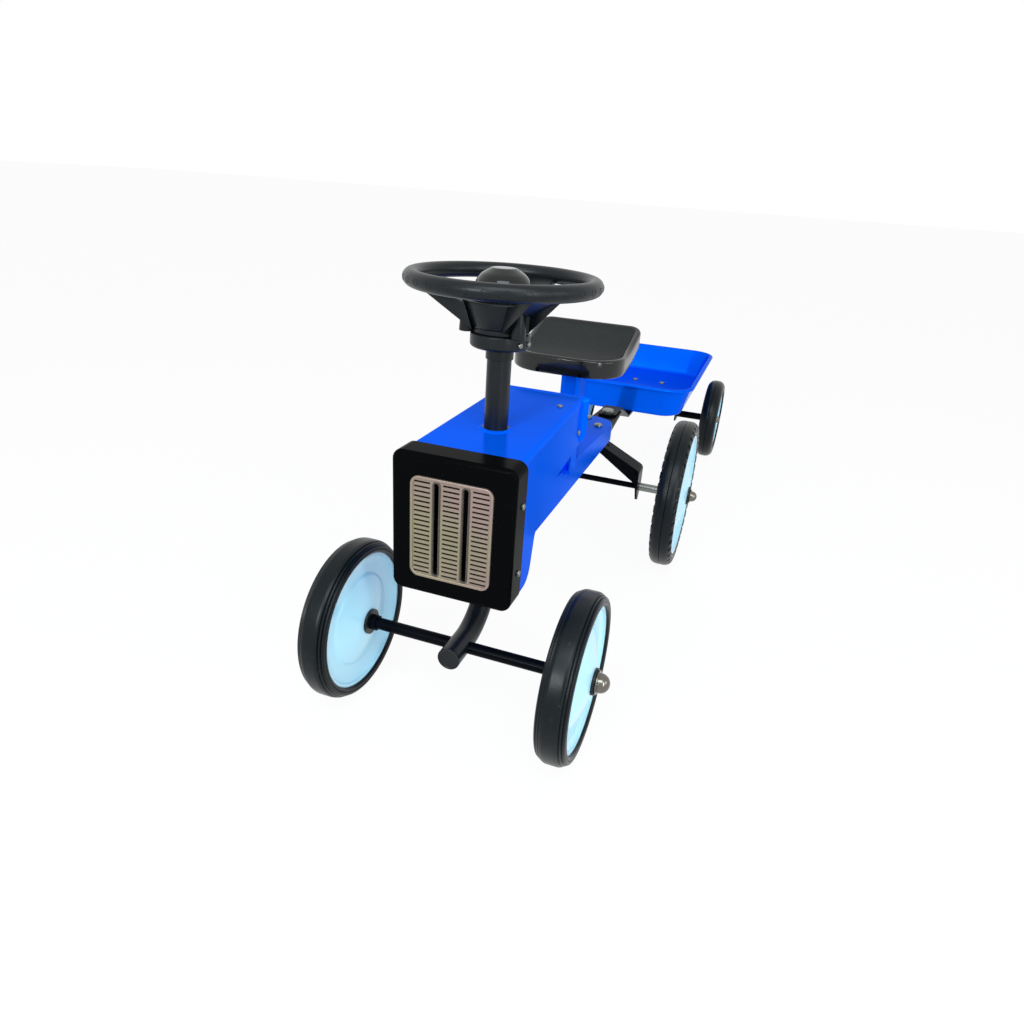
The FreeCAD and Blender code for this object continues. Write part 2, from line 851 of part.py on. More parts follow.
def make_horn():
    """The domed horn button, held in the bowl by its flange."""
    flange_top = S.bowl_top_z - S.bowl_wall - S.axle_end_gap
    flange_low = flange_top - S.horn_flange_thickness
    wall = S.horn_wall
    crown = S.horn_crown_round
    outline = [
        (NOUGHT, S.horn_top_z),
        (S.horn_base_radius, S.horn_top_z, crown),
        (S.horn_base_radius, flange_top),
        (S.horn_flange_radius, flange_top),
        (S.horn_flange_radius, flange_low),
        (S.horn_base_radius - wall, flange_low),
        (S.horn_base_radius - wall, S.horn_top_z - wall, crown - wall),
        (NOUGHT, S.horn_top_z - wall),
    ]
    return place(revolved("horn", outline, "V_Axis", "XZ"), y=S.column_y)


def make_bellows():
    """The rubber bellows under the horn button, which sounds it and lifts it again."""
    low = S.column_top_z + S.seat_clearance
    high = S.horn_top_z - S.horn_wall - S.axle_end_gap
    wall = S.bellows_wall
    fold = (high - low) / 4
    out = S.bellows_radius
    waist = out - 3 * wall
    outside = [(out, low), (waist, low + fold), (out, low + 2 * fold), (waist, low + 3 * fold)]
    crown = S.horn_base_radius - S.horn_crown_round - wall
    top = [(crown, high), (NOUGHT, high), (NOUGHT, high - wall)]
    inside = [(crown - wall, high - wall), (waist - 2 * wall, low)]
    return place(revolved("bellows", outside + top + inside, "V_Axis", "XZ"), y=S.column_y)


keep(make_column(), "steering_column")
keep(make_end_cap(), "column_end_cap")
keep(make_steering_wheel(), "steering_wheel")
keep(make_collar(), "hub_collar")
keep(make_collar_screws(), "collar_screws")
keep(make_horn(), "horn_button")
keep(make_bellows(), "horn_bellows")


# hood and grille

def hood_section(half_width, top, inset):
    """An upside-down U, wide and tall enough to be trimmed below."""
    half = half_width - inset
    low = S.skirt_z - S.overrun - inset
    roof = top - inset
    rounding = S.hood_corner_round - inset
    return [(-half, low), (half, low), (half, roof, rounding), (-half, roof, rounding)]


def make_hood():
    """The pressed hood: tapered box, flared rear lip and a cut-away for each front wheel."""
    body = new_body("hood_press")
    stations = (
        (S.hood_front_y, S.hood_half_width_front, S.hood_top_front_z),
        (S.hood_rear_y, S.hood_half_width_rear, S.hood_top_rear_z),
        (S.hood_rear_y + S.hood_lip_length, S.hood_half_width_rear + S.hood_lip_flare,
         S.hood_top_rear_z + S.hood_lip_rise),
    )
    for kind, inset in (("AdditiveLoft", NOUGHT), ("SubtractiveLoft", S.sheet)):
        sketches = []
        for y, half_width, top in stations:
            sketch = new_sketch(body, "XZ", -y)
            draw_outline(sketch, hood_section(half_width, top, inset))
            sketches.append(sketch)
        loft = feature(body, kind, sketches[0])
        loft.Sections = sketches[1:]
        loft.Ruled = True
    side = new_sketch(body, "YZ")
    front = S.hood_front_y - S.overrun
    rear = S.hood_rear_y + S.hood_lip_length + S.overrun
    low = S.skirt_z - 3 * S.overrun
    arch = S.arch_round
    draw_outline(side, [
        (front, low),
        (front, S.skirt_z),
        (S.hood_front_y + S.skirt_length, S.skirt_z, S.skirt_round),
        (S.hood_front_y + S.skirt_length + S.skirt_lean, S.panel_z, arch),
        (S.panel_length, S.panel_z, arch / 2),
        (S.panel_length, S.side_z, arch / 2),
        (S.hood_rear_y, S.side_z + S.side_rise, arch),
        (rear, S.side_z + 3 * S.side_rise),
        (rear, low),
    ])
    trim = feature(body, "Pocket", side, Length=4 * S.hood_half_width_front)
    trim.SideType = "Symmetric"
    place(body)
    top_hole = S.column_radius + S.sheet + S.running_clearance
    height = S.hood_top_rear_z - S.side_z + S.overrun
    tools = [side_rivet_hole()]
    tools.append(upright_rod("hood_column_hole", top_hole, NOUGHT, S.column_y, S.side_z, height))
    radius = S.screw_radius + S.seat_clearance
    low = S.hood_top_front_z - S.overrun
    for side in (-1, 1):
        x = side * S.top_rivet_x
        tools.append(upright_rod("top_rivet_hole", radius, x, S.top_rivet_y, low, 3 * S.overrun))
    return cut(body, *tools)


def hood_half_width(y):
    """Outside half width of the hood at a station."""
    share = (y - S.hood_front_y) / (S.hood_rear_y - S.hood_front_y)
    return S.hood_half_width_front + share * (S.hood_half_width_rear - S.hood_half_width_front)


def hood_top(y):
    """Height of the hood's top at a station."""
    share = (y - S.hood_front_y) / (S.hood_rear_y - S.hood_front_y)
    return S.hood_top_front_z + share * (S.hood_top_rear_z - S.hood_top_front_z)


def side_rivet_hole():
    reach = S.hood_half_width_front + S.overrun
    radius = S.screw_radius + S.seat_clearance
    return cross_rod("side_rivet_hole", radius, -reach, S.side_rivet_y, S.side_rivet_z, 2 * reach)


def grille_screw_holes():
    """Holes for the two screws in each side of the grille frame."""
    reach = S.frame_width / 2 + S.overrun
    radius = S.screw_radius + S.seat_clearance
    holes = []
    for z in (S.grille_screw_low_z, S.grille_screw_high_z):
        holes.append(cross_rod("grille_screw_hole", radius, -reach, S.grille_screw_y, z, 2 * reach))
    return holes


def make_frame():
    """The moulded grille frame: a rounded box open behind, with a window in front."""
    half = S.frame_width / 2
    low = S.frame_bottom_z
    high = low + S.frame_height
    corner = S.frame_corner_round
    body = padded("grille_box", "XZ", [rectangle(-half, low, half, high, corner)], S.frame_depth)
    document.recompute()
    box = body.Tip
    edges = body.newObject("PartDesign::Fillet", "grille_box_edges")
    edges.Base = (box, front_edges(box))
    bind(edges, Radius=S.frame_edge_round)
    body.Tip = edges
    inner = new_sketch(body, "XZ")
    wall = S.frame_wall
    draw_outline(inner, rectangle(wall - half, low + wall, half - wall, high - wall, corner - wall))
    feature(body, "Pocket", inner, Length=S.frame_depth - wall).Reversed = True
    window = new_sketch(body, "XZ")
    draw_outline(window, rectangle(*insert_box(S.window_margin), S.insert_round - S.window_margin))
    feature(body, "Pocket", window, Length=S.frame_depth + S.overrun).Reversed = True
    place(body, y=S.frame_front_y + S.frame_depth)
    return cut(body, *grille_screw_holes())


def front_edges(solid):
    """Names of the edges round the front face of a body padded towards -Y."""
    found = []
    front = solid.Shape.BoundBox.YMin
    for index, edge in enumerate(solid.Shape.Edges, start=1):
        if edge.BoundBox.YMax - front < 0.001:
            found.append(f"Edge{index}")
    return found


def insert_box(inset):
    """Left, bottom, right and top of the stamped insert, drawn in by an inset."""
    centre = S.frame_bottom_z + S.frame_height / 2 - S.insert_drop
    half_width = S.insert_width / 2 - inset
    half_height = S.insert_height / 2 - inset
    return -half_width, centre - half_height, half_width, centre + half_height


def make_insert():
    """The stamped grille plate: rows of slots in three columns and two long grooves."""
    plate = rectangle(*insert_box(NOUGHT), S.insert_round)
    body = padded("grille_stamping", "XZ", [plate], S.insert_thickness)
    left, low, right, high = insert_box(NOUGHT)
    centre = (low + high) / 2
    slot = new_sketch(body, "XZ")
    x0 = -S.slot_column_pitch - S.slot_width / 2
    z0 = centre - S.slot_pitch * ((SLOT_ROWS - 1) / 2) - S.slot_height / 2
    draw_outline(slot, rectangle(x0, z0, x0 + S.slot_width, z0 + S.slot_height))
    first = feature(body, "Pocket", slot, Length=S.insert_thickness + S.overrun)
    first.Reversed = True
    document.recompute()
    pattern = body.newObject("PartDesign::LinearPattern", "grille_slots")
    pattern.Originals = [first]
    pattern.Direction = (slot, ["V_Axis"])
    pattern.Direction2 = (slot, ["H_Axis"])
    bind(pattern, Length=S.slot_pitch * (SLOT_ROWS - 1), Length2=S.slot_column_pitch * (SLOT_COLUMNS - 1))
    pattern.Occurrences = SLOT_ROWS
    pattern.Occurrences2 = SLOT_COLUMNS
    body.Tip = pattern
    for side in (-1, 1):
        groove = new_sketch(body, "XZ")
        x = side * S.slot_column_pitch / 2
        half = S.groove_width / 2
        foot, head = low + S.groove_margin, high - S.groove_margin
        draw_outline(groove, rectangle(x - half, foot, x + half, head, S.groove_width * S.groove_round_share))
        feature(body, "Pocket", groove, Length=S.insert_thickness + S.overrun).Reversed = True
    return place(body, y=S.frame_front_y)


def make_bulkhead():
    """A shallow pressed pan behind the grille that joins frame, hood and beam."""
    half = S.hood_half_width_front - S.sheet - S.seat_clearance
    low = S.frame_bottom_z + S.frame_wall + S.seat_clearance
    high = S.frame_bottom_z + S.frame_height - S.frame_wall - S.seat_clearance
    rounding = S.hood_corner_round - S.sheet
    wall = S.sheet
    body = padded("bulkhead", "XZ", [rectangle(-half, low, half, high, rounding)], S.bulkhead_reach)
    hollow = new_sketch(body, "XZ", S.bulkhead_reach)
    draw_outline(hollow, rectangle(wall - half, low + wall, half - wall, high - wall, rounding - wall))
    feature(body, "Pocket", hollow, Length=S.bulkhead_reach - wall)
    place(body, y=S.bulkhead_y + wall)
    return cut(body, *grille_screw_holes())


keep(make_hood(), "hood")
keep(make_frame(), "grille_frame")
keep(make_insert(), "grille_insert")
keep(make_bulkhead(), "front_bulkhead")


# beam, bearing and seat

def beam_solid(inset):
    """The beam's outer form, or its hollow when drawn in by the sheet."""
    front, rear = S.beam_front_y, BEAM_REAR_Y
    low = S.beam_bottom_z - (S.overrun if inset is not NOUGHT else NOUGHT)
    side = padded("beam_side", "YZ", [[
        (front - inset, low),
        (front - inset, beam_top(front) - inset),
        (rear - inset, beam_top(rear) - inset),
        (rear - inset, low),
    ]], 4 * S.beam_half_width, both=True)
    half = S.beam_half_width - inset
    tail = S.beam_tail_round - inset
    plan = padded("beam_plan", "XY", [[
        (-half, front - inset - S.overrun),
        (half, front - inset - S.overrun),
        (half, rear - inset, tail),
        (-half, rear - inset, tail),
    ]], S.beam_top_front_z * 2)
    return common(side, plan)


def make_beam():
    """The frame beam: a pressed channel, open below, with a rounded tail."""
    tools = [place(beam_solid(S.sheet))]
    tools.append(tall_rod("beam_bearing_hole", S.bearing_radius + S.seat_clearance, S.column_y))
    for x, y in carrier_bolt_spots():
        tools.append(tall_rod("beam_bolt_hole", S.bolt_radius + S.seat_clearance, y, x))
        facing = tall_rod("beam_spot_face", S.bolt_head_radius + S.free_clearance, y, x)
        tools.append(bind(facing, Placement__Base__z=carrier_bolt_seat(y)))
    radius = S.screw_radius + S.seat_clearance
    for side in (-1, 1):
        tools.append(tall_rod("beam_saddle_hole", radius, S.saddle_y, side * S.saddle_bolt_x))
    return cut(place(beam_solid(NOUGHT)), *tools)


def carrier_bolt_spots():
    """Where the bolts pass through beam, spacers and hitch plate."""
    x = S.bracket_bolt_x
    return [(-x, CARRIER_BOLT_Y), (x, CARRIER_BOLT_Y), (NOUGHT, S.wheelbase)]


def carrier_bolt_seat(y):
    return beam_top(y + S.bolt_head_radius)


def tall_rod(name, radius, y, x=NOUGHT):
    """A tall upright cutter from the ground."""
    return upright_rod(name, radius, x, y, NOUGHT, 2 * S.beam_top_front_z)


def make_bearing():
    """The tube through the beam that the steering column turns in."""
    bore = S.column_radius + S.running_clearance
    top = bearing_top()
    outline = [
        (bore, S.beam_bottom_z),
        (S.bearing_radius, S.beam_bottom_z),
        (S.bearing_radius, top),
        (bore, top),
    ]
    return place(revolved("bearing", outline, "V_Axis", "XZ"), y=S.column_y)


def bearing_top():
    return beam_top(S.column_y) + S.bearing_proud


def make_stop_ring():
    """The ring on the column that rests on the bearing and carries the steering."""
    bore = S.column_radius + S.seat_clearance
    low = bearing_top() + S.axle_end_gap
    high = low + S.stop_ring_height
    outline = [(bore, low), (S.stop_ring_radius, low), (S.stop_ring_radius, high), (bore, high)]
    return place(revolved("stop_ring", outline, "V_Axis", "XZ"), y=S.column_y)


def make_column_bush():
    """The bush in the hood's top that steadies the column."""
    bore = S.column_radius + S.running_clearance
    outer = S.column_radius + S.sheet
    top = hood_top(S.column_y)
    under = top - S.sheet - S.free_clearance
    outline = [
        (bore, under - S.plate),
        (S.hood_bush_flange_radius, under - S.plate),
        (S.hood_bush_flange_radius, under),
        (outer, under),
        (outer, top + S.sheet),
        (bore, top + S.sheet),
    ]
    return place(revolved("column_bush", outline, "V_Axis", "XZ"), y=S.column_y)


def make_saddle():
    """The strap over the beam that holds up the hood's sides."""
    half = hood_half_width(S.saddle_y + S.saddle_width / 2) - S.sheet - S.seat_clearance
    low = beam_top(S.saddle_y + S.saddle_width)
    seat = beam_top(S.saddle_y - S.saddle_width / 2) + S.sheet
    body = padded("saddle", "XZ", [[
        (-half, low),
        (half, low),
        (half, low + S.saddle_height),
        (half - S.sheet, low + S.saddle_height),
        (half - S.sheet, seat),
        (S.sheet - half, seat),
        (S.sheet - half, low + S.saddle_height),
        (-half, low + S.saddle_height),
    ]], S.saddle_width, both=True)
    place(body, y=S.saddle_y)
    tools = [place(beam_solid(NOUGHT)), side_rivet_hole()]
    radius = S.screw_radius + S.seat_clearance
    for side in (-1, 1):
        tools.append(tall_rod("saddle_bolt_hole", radius, S.saddle_y, side * S.saddle_bolt_x))
    return cut(body, *tools)


def seat_outline(inset):
    """Plan of the seat, drawn in by an inset."""
    half = S.seat_half_width - inset
    front = SEAT_FRONT_Y + inset
    rear = SEAT_FRONT_Y + S.seat_depth - inset
    return [
        (-half, front, S.seat_front_round - inset),
        (half, front, S.seat_front_round - inset),
        (half, rear, S.seat_rear_round - inset),
        (-half, rear, S.seat_rear_round - inset),
    ]


def seat_slab(name, top, bottom, top_round, bottom_round):
    """Side form of the seat between two heights, level in front and rising behind."""
    front = SEAT_FRONT_Y - S.overrun
    middle = SEAT_FRONT_Y + S.seat_depth / 2
    rear = SEAT_FRONT_Y + S.seat_depth + S.overrun
    lift = S.seat_rise * (rear - middle) / (S.seat_depth / 2)
    return padded(name, "YZ", [[
        (front, top),
        (front, bottom),
        (middle, bottom, bottom_round),
        (rear, bottom + lift),
        (rear, top + lift),
        (middle, top, top_round),
    ]], 4 * S.seat_half_width, both=True)


def make_seat():
    """The moulded seat pan: a skirted shell, dished to the rear, with a raised border."""
    top = S.seat_front_z
    bottom = top - S.seat_skirt
    dip = S.seat_dip_round
    tall = 2 * S.seat_front_z
    shell = common(padded("seat_plan", "XY", [seat_outline(NOUGHT)], tall),
                   seat_slab("seat_slab", top, bottom, dip, dip + S.seat_skirt))
    under = common(padded("seat_under_plan", "XY", [seat_outline(S.seat_wall)], tall),
                   seat_slab("seat_under_slab", top - S.seat_wall, bottom - S.overrun, dip + S.seat_wall,
                             dip + S.seat_skirt + S.overrun))
    over = common(padded("seat_over_plan", "XY", [seat_outline(S.seat_border)], tall),
                  seat_slab("seat_over_slab", top + S.overrun, top - S.seat_recess, dip - S.overrun,
                            dip + S.seat_recess))
    holes = []
    for side in (-1, 1):
        hole = rod("seat_screw_hole", S.screw_radius + S.seat_clearance, S.seat_wall + 2 * S.overrun)
        hole.Placement.Rotation = FreeCAD.Rotation(FreeCAD.Vector(1, 0, 0), 90)
        bind(hole, Placement__Base__x=side * S.seat_screw_x)
        bind(hole, Placement__Base__y=SEAT_FRONT_Y + S.seat_wall + S.overrun)
        bind(hole, Placement__Base__z=S.seat_front_z - S.seat_screw_drop)
        holes.append(hole)
    return place(cut(shell, under, over, *holes))


def make_pedestal():
    """The post between the beam and the seat, with a foot that follows the beam's slope."""
    half = S.pedestal_width / 2
    deep = S.pedestal_depth / 2
    y = PEDESTAL_Y
    tall = 2 * S.seat_front_z
    wall = S.pedestal_wall
    tube = [
        rectangle(-half, y - deep, half, y + deep, S.pedestal_round),
        rectangle(wall - half, y - deep + wall, half - wall, y + deep - wall, S.pedestal_round - wall),
    ]
    post = padded("pedestal_post", "XY", tube, tall)
    foot_half = half + S.pedestal_foot
    foot_deep = deep + S.pedestal_foot
    foot = padded("pedestal_foot_plan", "XY",
                  [rectangle(-foot_half, y - foot_deep, foot_half, y + foot_deep, S.pedestal_round)], tall)
    front, rear = y - 2 * foot_deep, y + 2 * foot_deep
    above = padded("pedestal_above", "YZ", [[
        (front, beam_top(front)),
        (rear, beam_top(rear)),
        (rear, tall),
        (front, tall),
    ]], 4 * foot_half, both=True)
    sole = padded("pedestal_sole", "YZ", [[
        (front, beam_top(front)),
        (rear, beam_top(rear)),
        (rear, beam_top(rear) + S.plate),
        (front, beam_top(front) + S.plate),
    ]], 4 * foot_half, both=True)
    under = S.seat_front_z - S.seat_wall
    seat = seat_slab("pedestal_seat", tall, under, S.seat_dip_round, S.seat_dip_round + S.seat_wall)
    return place(fused(cut(common(post, above), seat), common(foot, sole)))


keep(make_beam(), "chassis_beam")
keep(make_bearing(), "column_bearing")
keep(make_stop_ring(), "column_stop_ring")
keep(make_column_bush(), "column_bush")
keep(make_saddle(), "hood_saddle")
keep(make_seat(), "seat")
keep(make_pedestal(), "seat_pedestal")


# rear axle carrier and hitch

def make_rear_bracket():
    """The bent strap that spreads from under the beam to the rear axle's ends."""
    top = HITCH_TOP_Z - S.plate
    elbow = S.bracket_elbow_x
    tip = S.rear_wheel_radius - S.bracket_tip_drop
    thick = S.plate
    rounding = S.bracket_bend_round
    right = [
        (S.bracket_flat, top, rounding),
        (elbow, S.bracket_elbow_z, rounding + thick),
        (elbow, tip),
        (elbow - thick, tip),
        (elbow - thick, S.bracket_elbow_z - thick / 2, rounding),
        (S.bracket_flat - thick / 4, top - thick, rounding + thick),
    ]
    outer, inner = right[:3], right[3:]
    left_inner = [(-c[0],) + tuple(c[1:]) for c in reversed(inner)]
    left_outer = [(-c[0],) + tuple(c[1:]) for c in reversed(outer)]
    bent = outer + inner + left_inner + left_outer
    strap = padded("bracket_strap", "XZ", [bent], S.bracket_width, both=True)
    pieces = [place(strap, y=S.wheelbase)]
    middle = top - thick - thick / 2
    flange = [
        (S.bracket_flat + 2 * thick, middle),
        (elbow - 3 * thick, S.bracket_elbow_z + thick),
        (elbow - thick / 2, S.bracket_elbow_z - 3 * thick),
        (elbow - thick / 2, S.rear_wheel_radius + 2 * thick),
        (S.bracket_flat + 2 * thick, middle - S.bracket_flange),
    ]
    for side in (-1, 1):
        web = padded("bracket_flange", "XZ", [flange], thick, both=True)
        place(web, y=S.wheelbase + side * (S.bracket_width - thick) / 2)
        pieces += [web, mirrored(web)]
    half = S.bracket_width / 2
    reach = elbow + S.overrun
    pointed = padded("bracket_side", "YZ", [[
        (-half, HITCH_TOP_Z),
        (-half, S.rear_wheel_radius),
        (NOUGHT, tip, S.bracket_tip_round),
        (half, S.rear_wheel_radius),
        (half, HITCH_TOP_Z),
    ]], 2 * reach, both=True)
    body = common(fused(*pieces), place(pointed, y=S.wheelbase))
    radius = S.rear_axle_radius + S.seat_clearance
    tools = [cross_rod("bracket_axle_hole", radius, -reach, S.wheelbase, S.rear_wheel_radius, 2 * reach)]
    tools.append(tall_rod("bracket_bolt_hole", S.bolt_radius + S.seat_clearance, S.wheelbase))
    for side in (-1, 1):
        tools.append(tall_rod("bracket_hole", S.bracket_hole_radius, S.wheelbase, side * S.bracket_hole_x))
    return cut(body, *tools)


def sleeve_outer(kind):
    """How far out an axle's sleeves reach, just short of the wheel's bush."""
    track = AXLES[kind][0]
    return track / 2 - hub_face(kind) - S.bush_flange_thickness - S.axle_end_gap


def make_sleeves(kind, inner):
    """Spacers on an axle from a given distance out to the wheels."""
    track, y, axle_radius = AXLES[kind]
    outer = sleeve_outer(kind)
    bore = axle_radius + S.seat_clearance
    radius = getattr(S, kind + "_sleeve_radius")
    outline = [(inner, bore), (outer, bore), (outer, radius), (inner, radius)]
    height = getattr(S, kind + "_wheel_radius")
    return pair(place(revolved(kind + "_sleeve", outline), y=y, z=height))


def hitch_profile():
    """Side form of the hitch plate: level under the beam, then stepped down."""
    start = S.wheelbase + S.hitch_drop_lag
    stop = start + S.hitch_drop_length
    rear = HITCH_Y + S.hitch_tail
    top = HITCH_TOP_Z
    low = PIN_TOP_Z
    thick = S.plate
    return [
        (HITCH_FRONT_Y, top - thick),
        (start, top - thick),
        (stop, low - thick),
        (rear, low - thick),
        (rear, low),
        (stop, low),
        (start, top),
        (HITCH_FRONT_Y, top),
    ]


def make_hitch_plate():
    """The tapered tow plate bolted under the beam's tail."""
    side = padded("hitch_side", "YZ", [hitch_profile()], 4 * S.hitch_front_half_width, both=True)
    wide, narrow = S.hitch_front_half_width, S.hitch_rear_half_width
    rear = HITCH_Y + S.hitch_tail
    plan = padded("hitch_plan", "XY", [[
        (-wide, HITCH_FRONT_Y),
        (wide, HITCH_FRONT_Y),
        (narrow, rear, S.hitch_tail_round),
        (-narrow, rear, S.hitch_tail_round),
    ]], 2 * HITCH_TOP_Z)
    tools = [tall_rod("hitch_pin_hole", S.hitch_pin_radius + S.seat_clearance, HITCH_Y)]
    for x, y in carrier_bolt_spots():
        tools.append(tall_rod("hitch_bolt_hole", S.bolt_radius + S.seat_clearance, y, x))
    return cut(place(common(side, plan)), *tools)


def make_hitch_pin():
    """The headed pin that the trailer swings on."""
    top = PIN_TOP_Z + S.plate + 2 * S.axle_end_gap
    low = PIN_TOP_Z - 2 * S.plate
    outline = [
        (NOUGHT, low),
        (S.hitch_pin_radius, low),
        (S.hitch_pin_radius, top),
        (S.hitch_head_radius, top),
        (S.hitch_head_radius, top + S.hitch_head_height, S.sheet),
        (NOUGHT, top + S.hitch_head_height),
    ]
    return place(revolved("hitch_pin_turned", outline, "V_Axis", "XZ"), y=HITCH_Y)


keep(make_rear_bracket(), "rear_axle_bracket")
keep(make_sleeves("rear", S.bracket_elbow_x + S.axle_end_gap), "rear_axle_sleeves")
keep(make_sleeves("trailer", S.trailer_bracket_half_width + S.axle_end_gap), "trailer_axle_sleeves")
keep(make_sleeves("front", sleeve_outer("front") - S.front_sleeve_length), "front_axle_sleeves")
keep(make_hitch_plate(), "hitch_plate")
keep(make_hitch_pin(), "hitch_pin")


# trailer

def tray_outline(inset, drawn):
    """Plan of the tray at a height: inset by the wall, drawn in by the draft."""
    half = S.tray_half_width - S.tray_lip - inset - drawn
    front = HITCH_Y + S.tray_front_gap + S.tray_lip + inset + drawn
    rear = TAIL_Y - S.tray_lip - inset - drawn
    return rectangle(-half, front, half, rear, S.tray_corner_round - S.tray_lip - inset)


def make_tray():
    """The pressed tray: sloping walls, rounded corners, a flat lip and sunk seats for its bolts."""
    body = new_body("tray_press")
    floor = S.tray_floor_z
    rim = S.tray_rim_z
    forms = (("AdditiveLoft", floor - S.sheet, NOUGHT), ("SubtractiveLoft", floor, S.sheet))
    for kind, low, inset in forms:
        base = new_sketch(body, "XY", low)
        draw_outline(base, tray_outline(inset, S.tray_draft))
        mouth = new_sketch(body, "XY", rim)
        draw_outline(mouth, tray_outline(inset, NOUGHT))
        loft = feature(body, kind, base)
        loft.Sections = [mouth]
        loft.Ruled = True
        document.recompute()
    lip = new_sketch(body, "XY", rim - S.sheet)
    draw_outline(lip, tray_outline(-S.tray_lip, NOUGHT))
    draw_outline(lip, tray_outline(S.sheet, NOUGHT))
    feature(body, "Pad", lip, Length=S.sheet)
    place(body)
    tools = []
    hole = S.bolt_radius + S.seat_clearance
    seat = S.bolt_head_radius + S.bolt_seat_margin
    low = TRAY_BOLT_Z - S.overrun
    for side in (-1, 1):
        x = side * S.tray_bolt_x
        tools.append(upright_rod("tray_bolt_hole", hole, x, TRAILER_AXLE_Y, low, 2 * S.overrun))
        tools.append(upright_rod("tray_bolt_seat", seat, x, TRAILER_AXLE_Y, TRAY_BOLT_Z, S.overrun))
    return cut(body, *tools)


def make_drawbar():
    """The strap from the hitch pin to the trailer's axle bracket."""
    top = PIN_TOP_Z + S.plate + S.axle_end_gap
    low = S.tray_floor_z - S.sheet
    front = HITCH_Y - S.drawbar_half_width
    start = HITCH_Y + S.drawbar_rise_start
    stop = start + S.drawbar_rise_length
    rear = TRAILER_AXLE_Y - S.trailer_bracket_width / 2
    thick = S.plate
    side = padded("drawbar_side", "YZ", [[
        (front, top - thick),
        (start, top - thick),
        (stop, low - thick),
        (rear, low - thick),
        (rear, low),
        (stop, low),
        (start, top),
        (front, top),
    ]], 4 * S.drawbar_half_width, both=True)
    half = S.drawbar_half_width
    plan = padded("drawbar_plan", "XY", [[
        (-half, front, S.drawbar_nose_round),
        (half, front, S.drawbar_nose_round),
        (half, rear),
        (-half, rear),
    ]], 2 * HITCH_TOP_Z)
    eye = tall_rod("drawbar_eye", S.hitch_pin_radius + S.running_clearance, HITCH_Y)
    return cut(place(common(side, plan)), eye)


def make_trailer_bracket():
    """The channel under the tray that carries the trailer's axle."""
    half = S.trailer_bracket_half_width
    top = S.tray_floor_z - S.sheet
    low = S.trailer_wheel_radius - S.trailer_bracket_tip
    thick = S.plate
    strap = padded("trailer_strap", "XZ", [[
        (-half, low),
        (thick - half, low),
        (thick - half, top - thick),
        (half - thick, top - thick),
        (half - thick, low),
        (half, low),
        (half, top),
        (-half, top),
    ]], S.trailer_bracket_width, both=True)
    place(strap, y=TRAILER_AXLE_Y)
    reach = half + S.overrun
    hole = cross_rod("trailer_axle_hole", S.trailer_axle_radius + S.seat_clearance, -reach, TRAILER_AXLE_Y,
                     S.trailer_wheel_radius, 2 * reach)
    tools = [hole]
    radius = S.bolt_radius + S.seat_clearance
    for side in (-1, 1):
        x = side * S.tray_bolt_x
        tools.append(upright_rod("strap_bolt_hole", radius, x, TRAILER_AXLE_Y, top - 2 * thick, 2 * S.overrun))
    return cut(strap, *tools)


keep(make_tray(), "trailer_tray")
keep(make_drawbar(), "trailer_drawbar")
keep(make_trailer_bracket(), "trailer_axle_bracket")


# fasteners

UPWARDS = ((0, 0, 1), 0)
LEFTWARDS = ((0, 1, 0), 90)
FORWARDS = ((1, 0, 0), 90)


def fastener(name, size, shank, x, y, z, facing=UPWARDS):
    """A round-headed screw, bolt or rivet whose head is seated at the point given."""
    head_radius = getattr(S, size + "_head_radius")
    head_height = getattr(S, size + "_head_height")
    shank_radius = getattr(S, size + "_radius")
    outline = [
        (NOUGHT, -shank),
        (shank_radius, -shank),
        (shank_radius, NOUGHT),
        (head_radius, NOUGHT),
        (head_radius, head_height, head_height * S.head_round_share),
        (NOUGHT, head_height),
    ]
    return place(revolved(name, outline, "V_Axis", "XZ"), x, y, z, *facing)


def make_spacers():
    """Tubes on the carrier bolts between the hitch plate and the beam's roof."""
    made = []
    bore = S.bolt_radius + S.seat_clearance
    for x, y in carrier_bolt_spots():
        high = beam_top(y + S.spacer_radius) - S.sheet
        outline = [
            (bore, HITCH_TOP_Z),
            (S.spacer_radius, HITCH_TOP_Z),
            (S.spacer_radius, high),
            (bore, high),
        ]
        made.append(place(revolved("spacer", outline, "V_Axis", "XZ"), x, y))
    return group(*made)


def make_carrier_bolts():
    made = []
    for x, y in carrier_bolt_spots():
        seat = carrier_bolt_seat(y)
        made.append(fastener("carrier_bolt", "bolt", seat - HITCH_TOP_Z + 3 * S.plate, x, y, seat))
    return group(*made)


def make_grille_screws():
    made = []
    for z in (S.grille_screw_low_z, S.grille_screw_high_z):
        x = S.frame_width / 2
        screw = fastener("grille_screw", "screw", S.screw_length, x, S.grille_screw_y, z, LEFTWARDS)
        made += [screw, mirrored(screw)]
    return group(*made)


def make_hood_rivets():
    high = hood_top(S.top_rivet_y + S.screw_head_radius)
    top = fastener("top_rivet", "screw", S.rivet_length, S.top_rivet_x, S.top_rivet_y, high)
    out = hood_half_width(S.side_rivet_y - S.screw_head_radius)
    side = fastener("side_rivet", "screw", S.rivet_length, out, S.side_rivet_y, S.side_rivet_z, LEFTWARDS)
    return group(top, mirrored(top), side, mirrored(side))


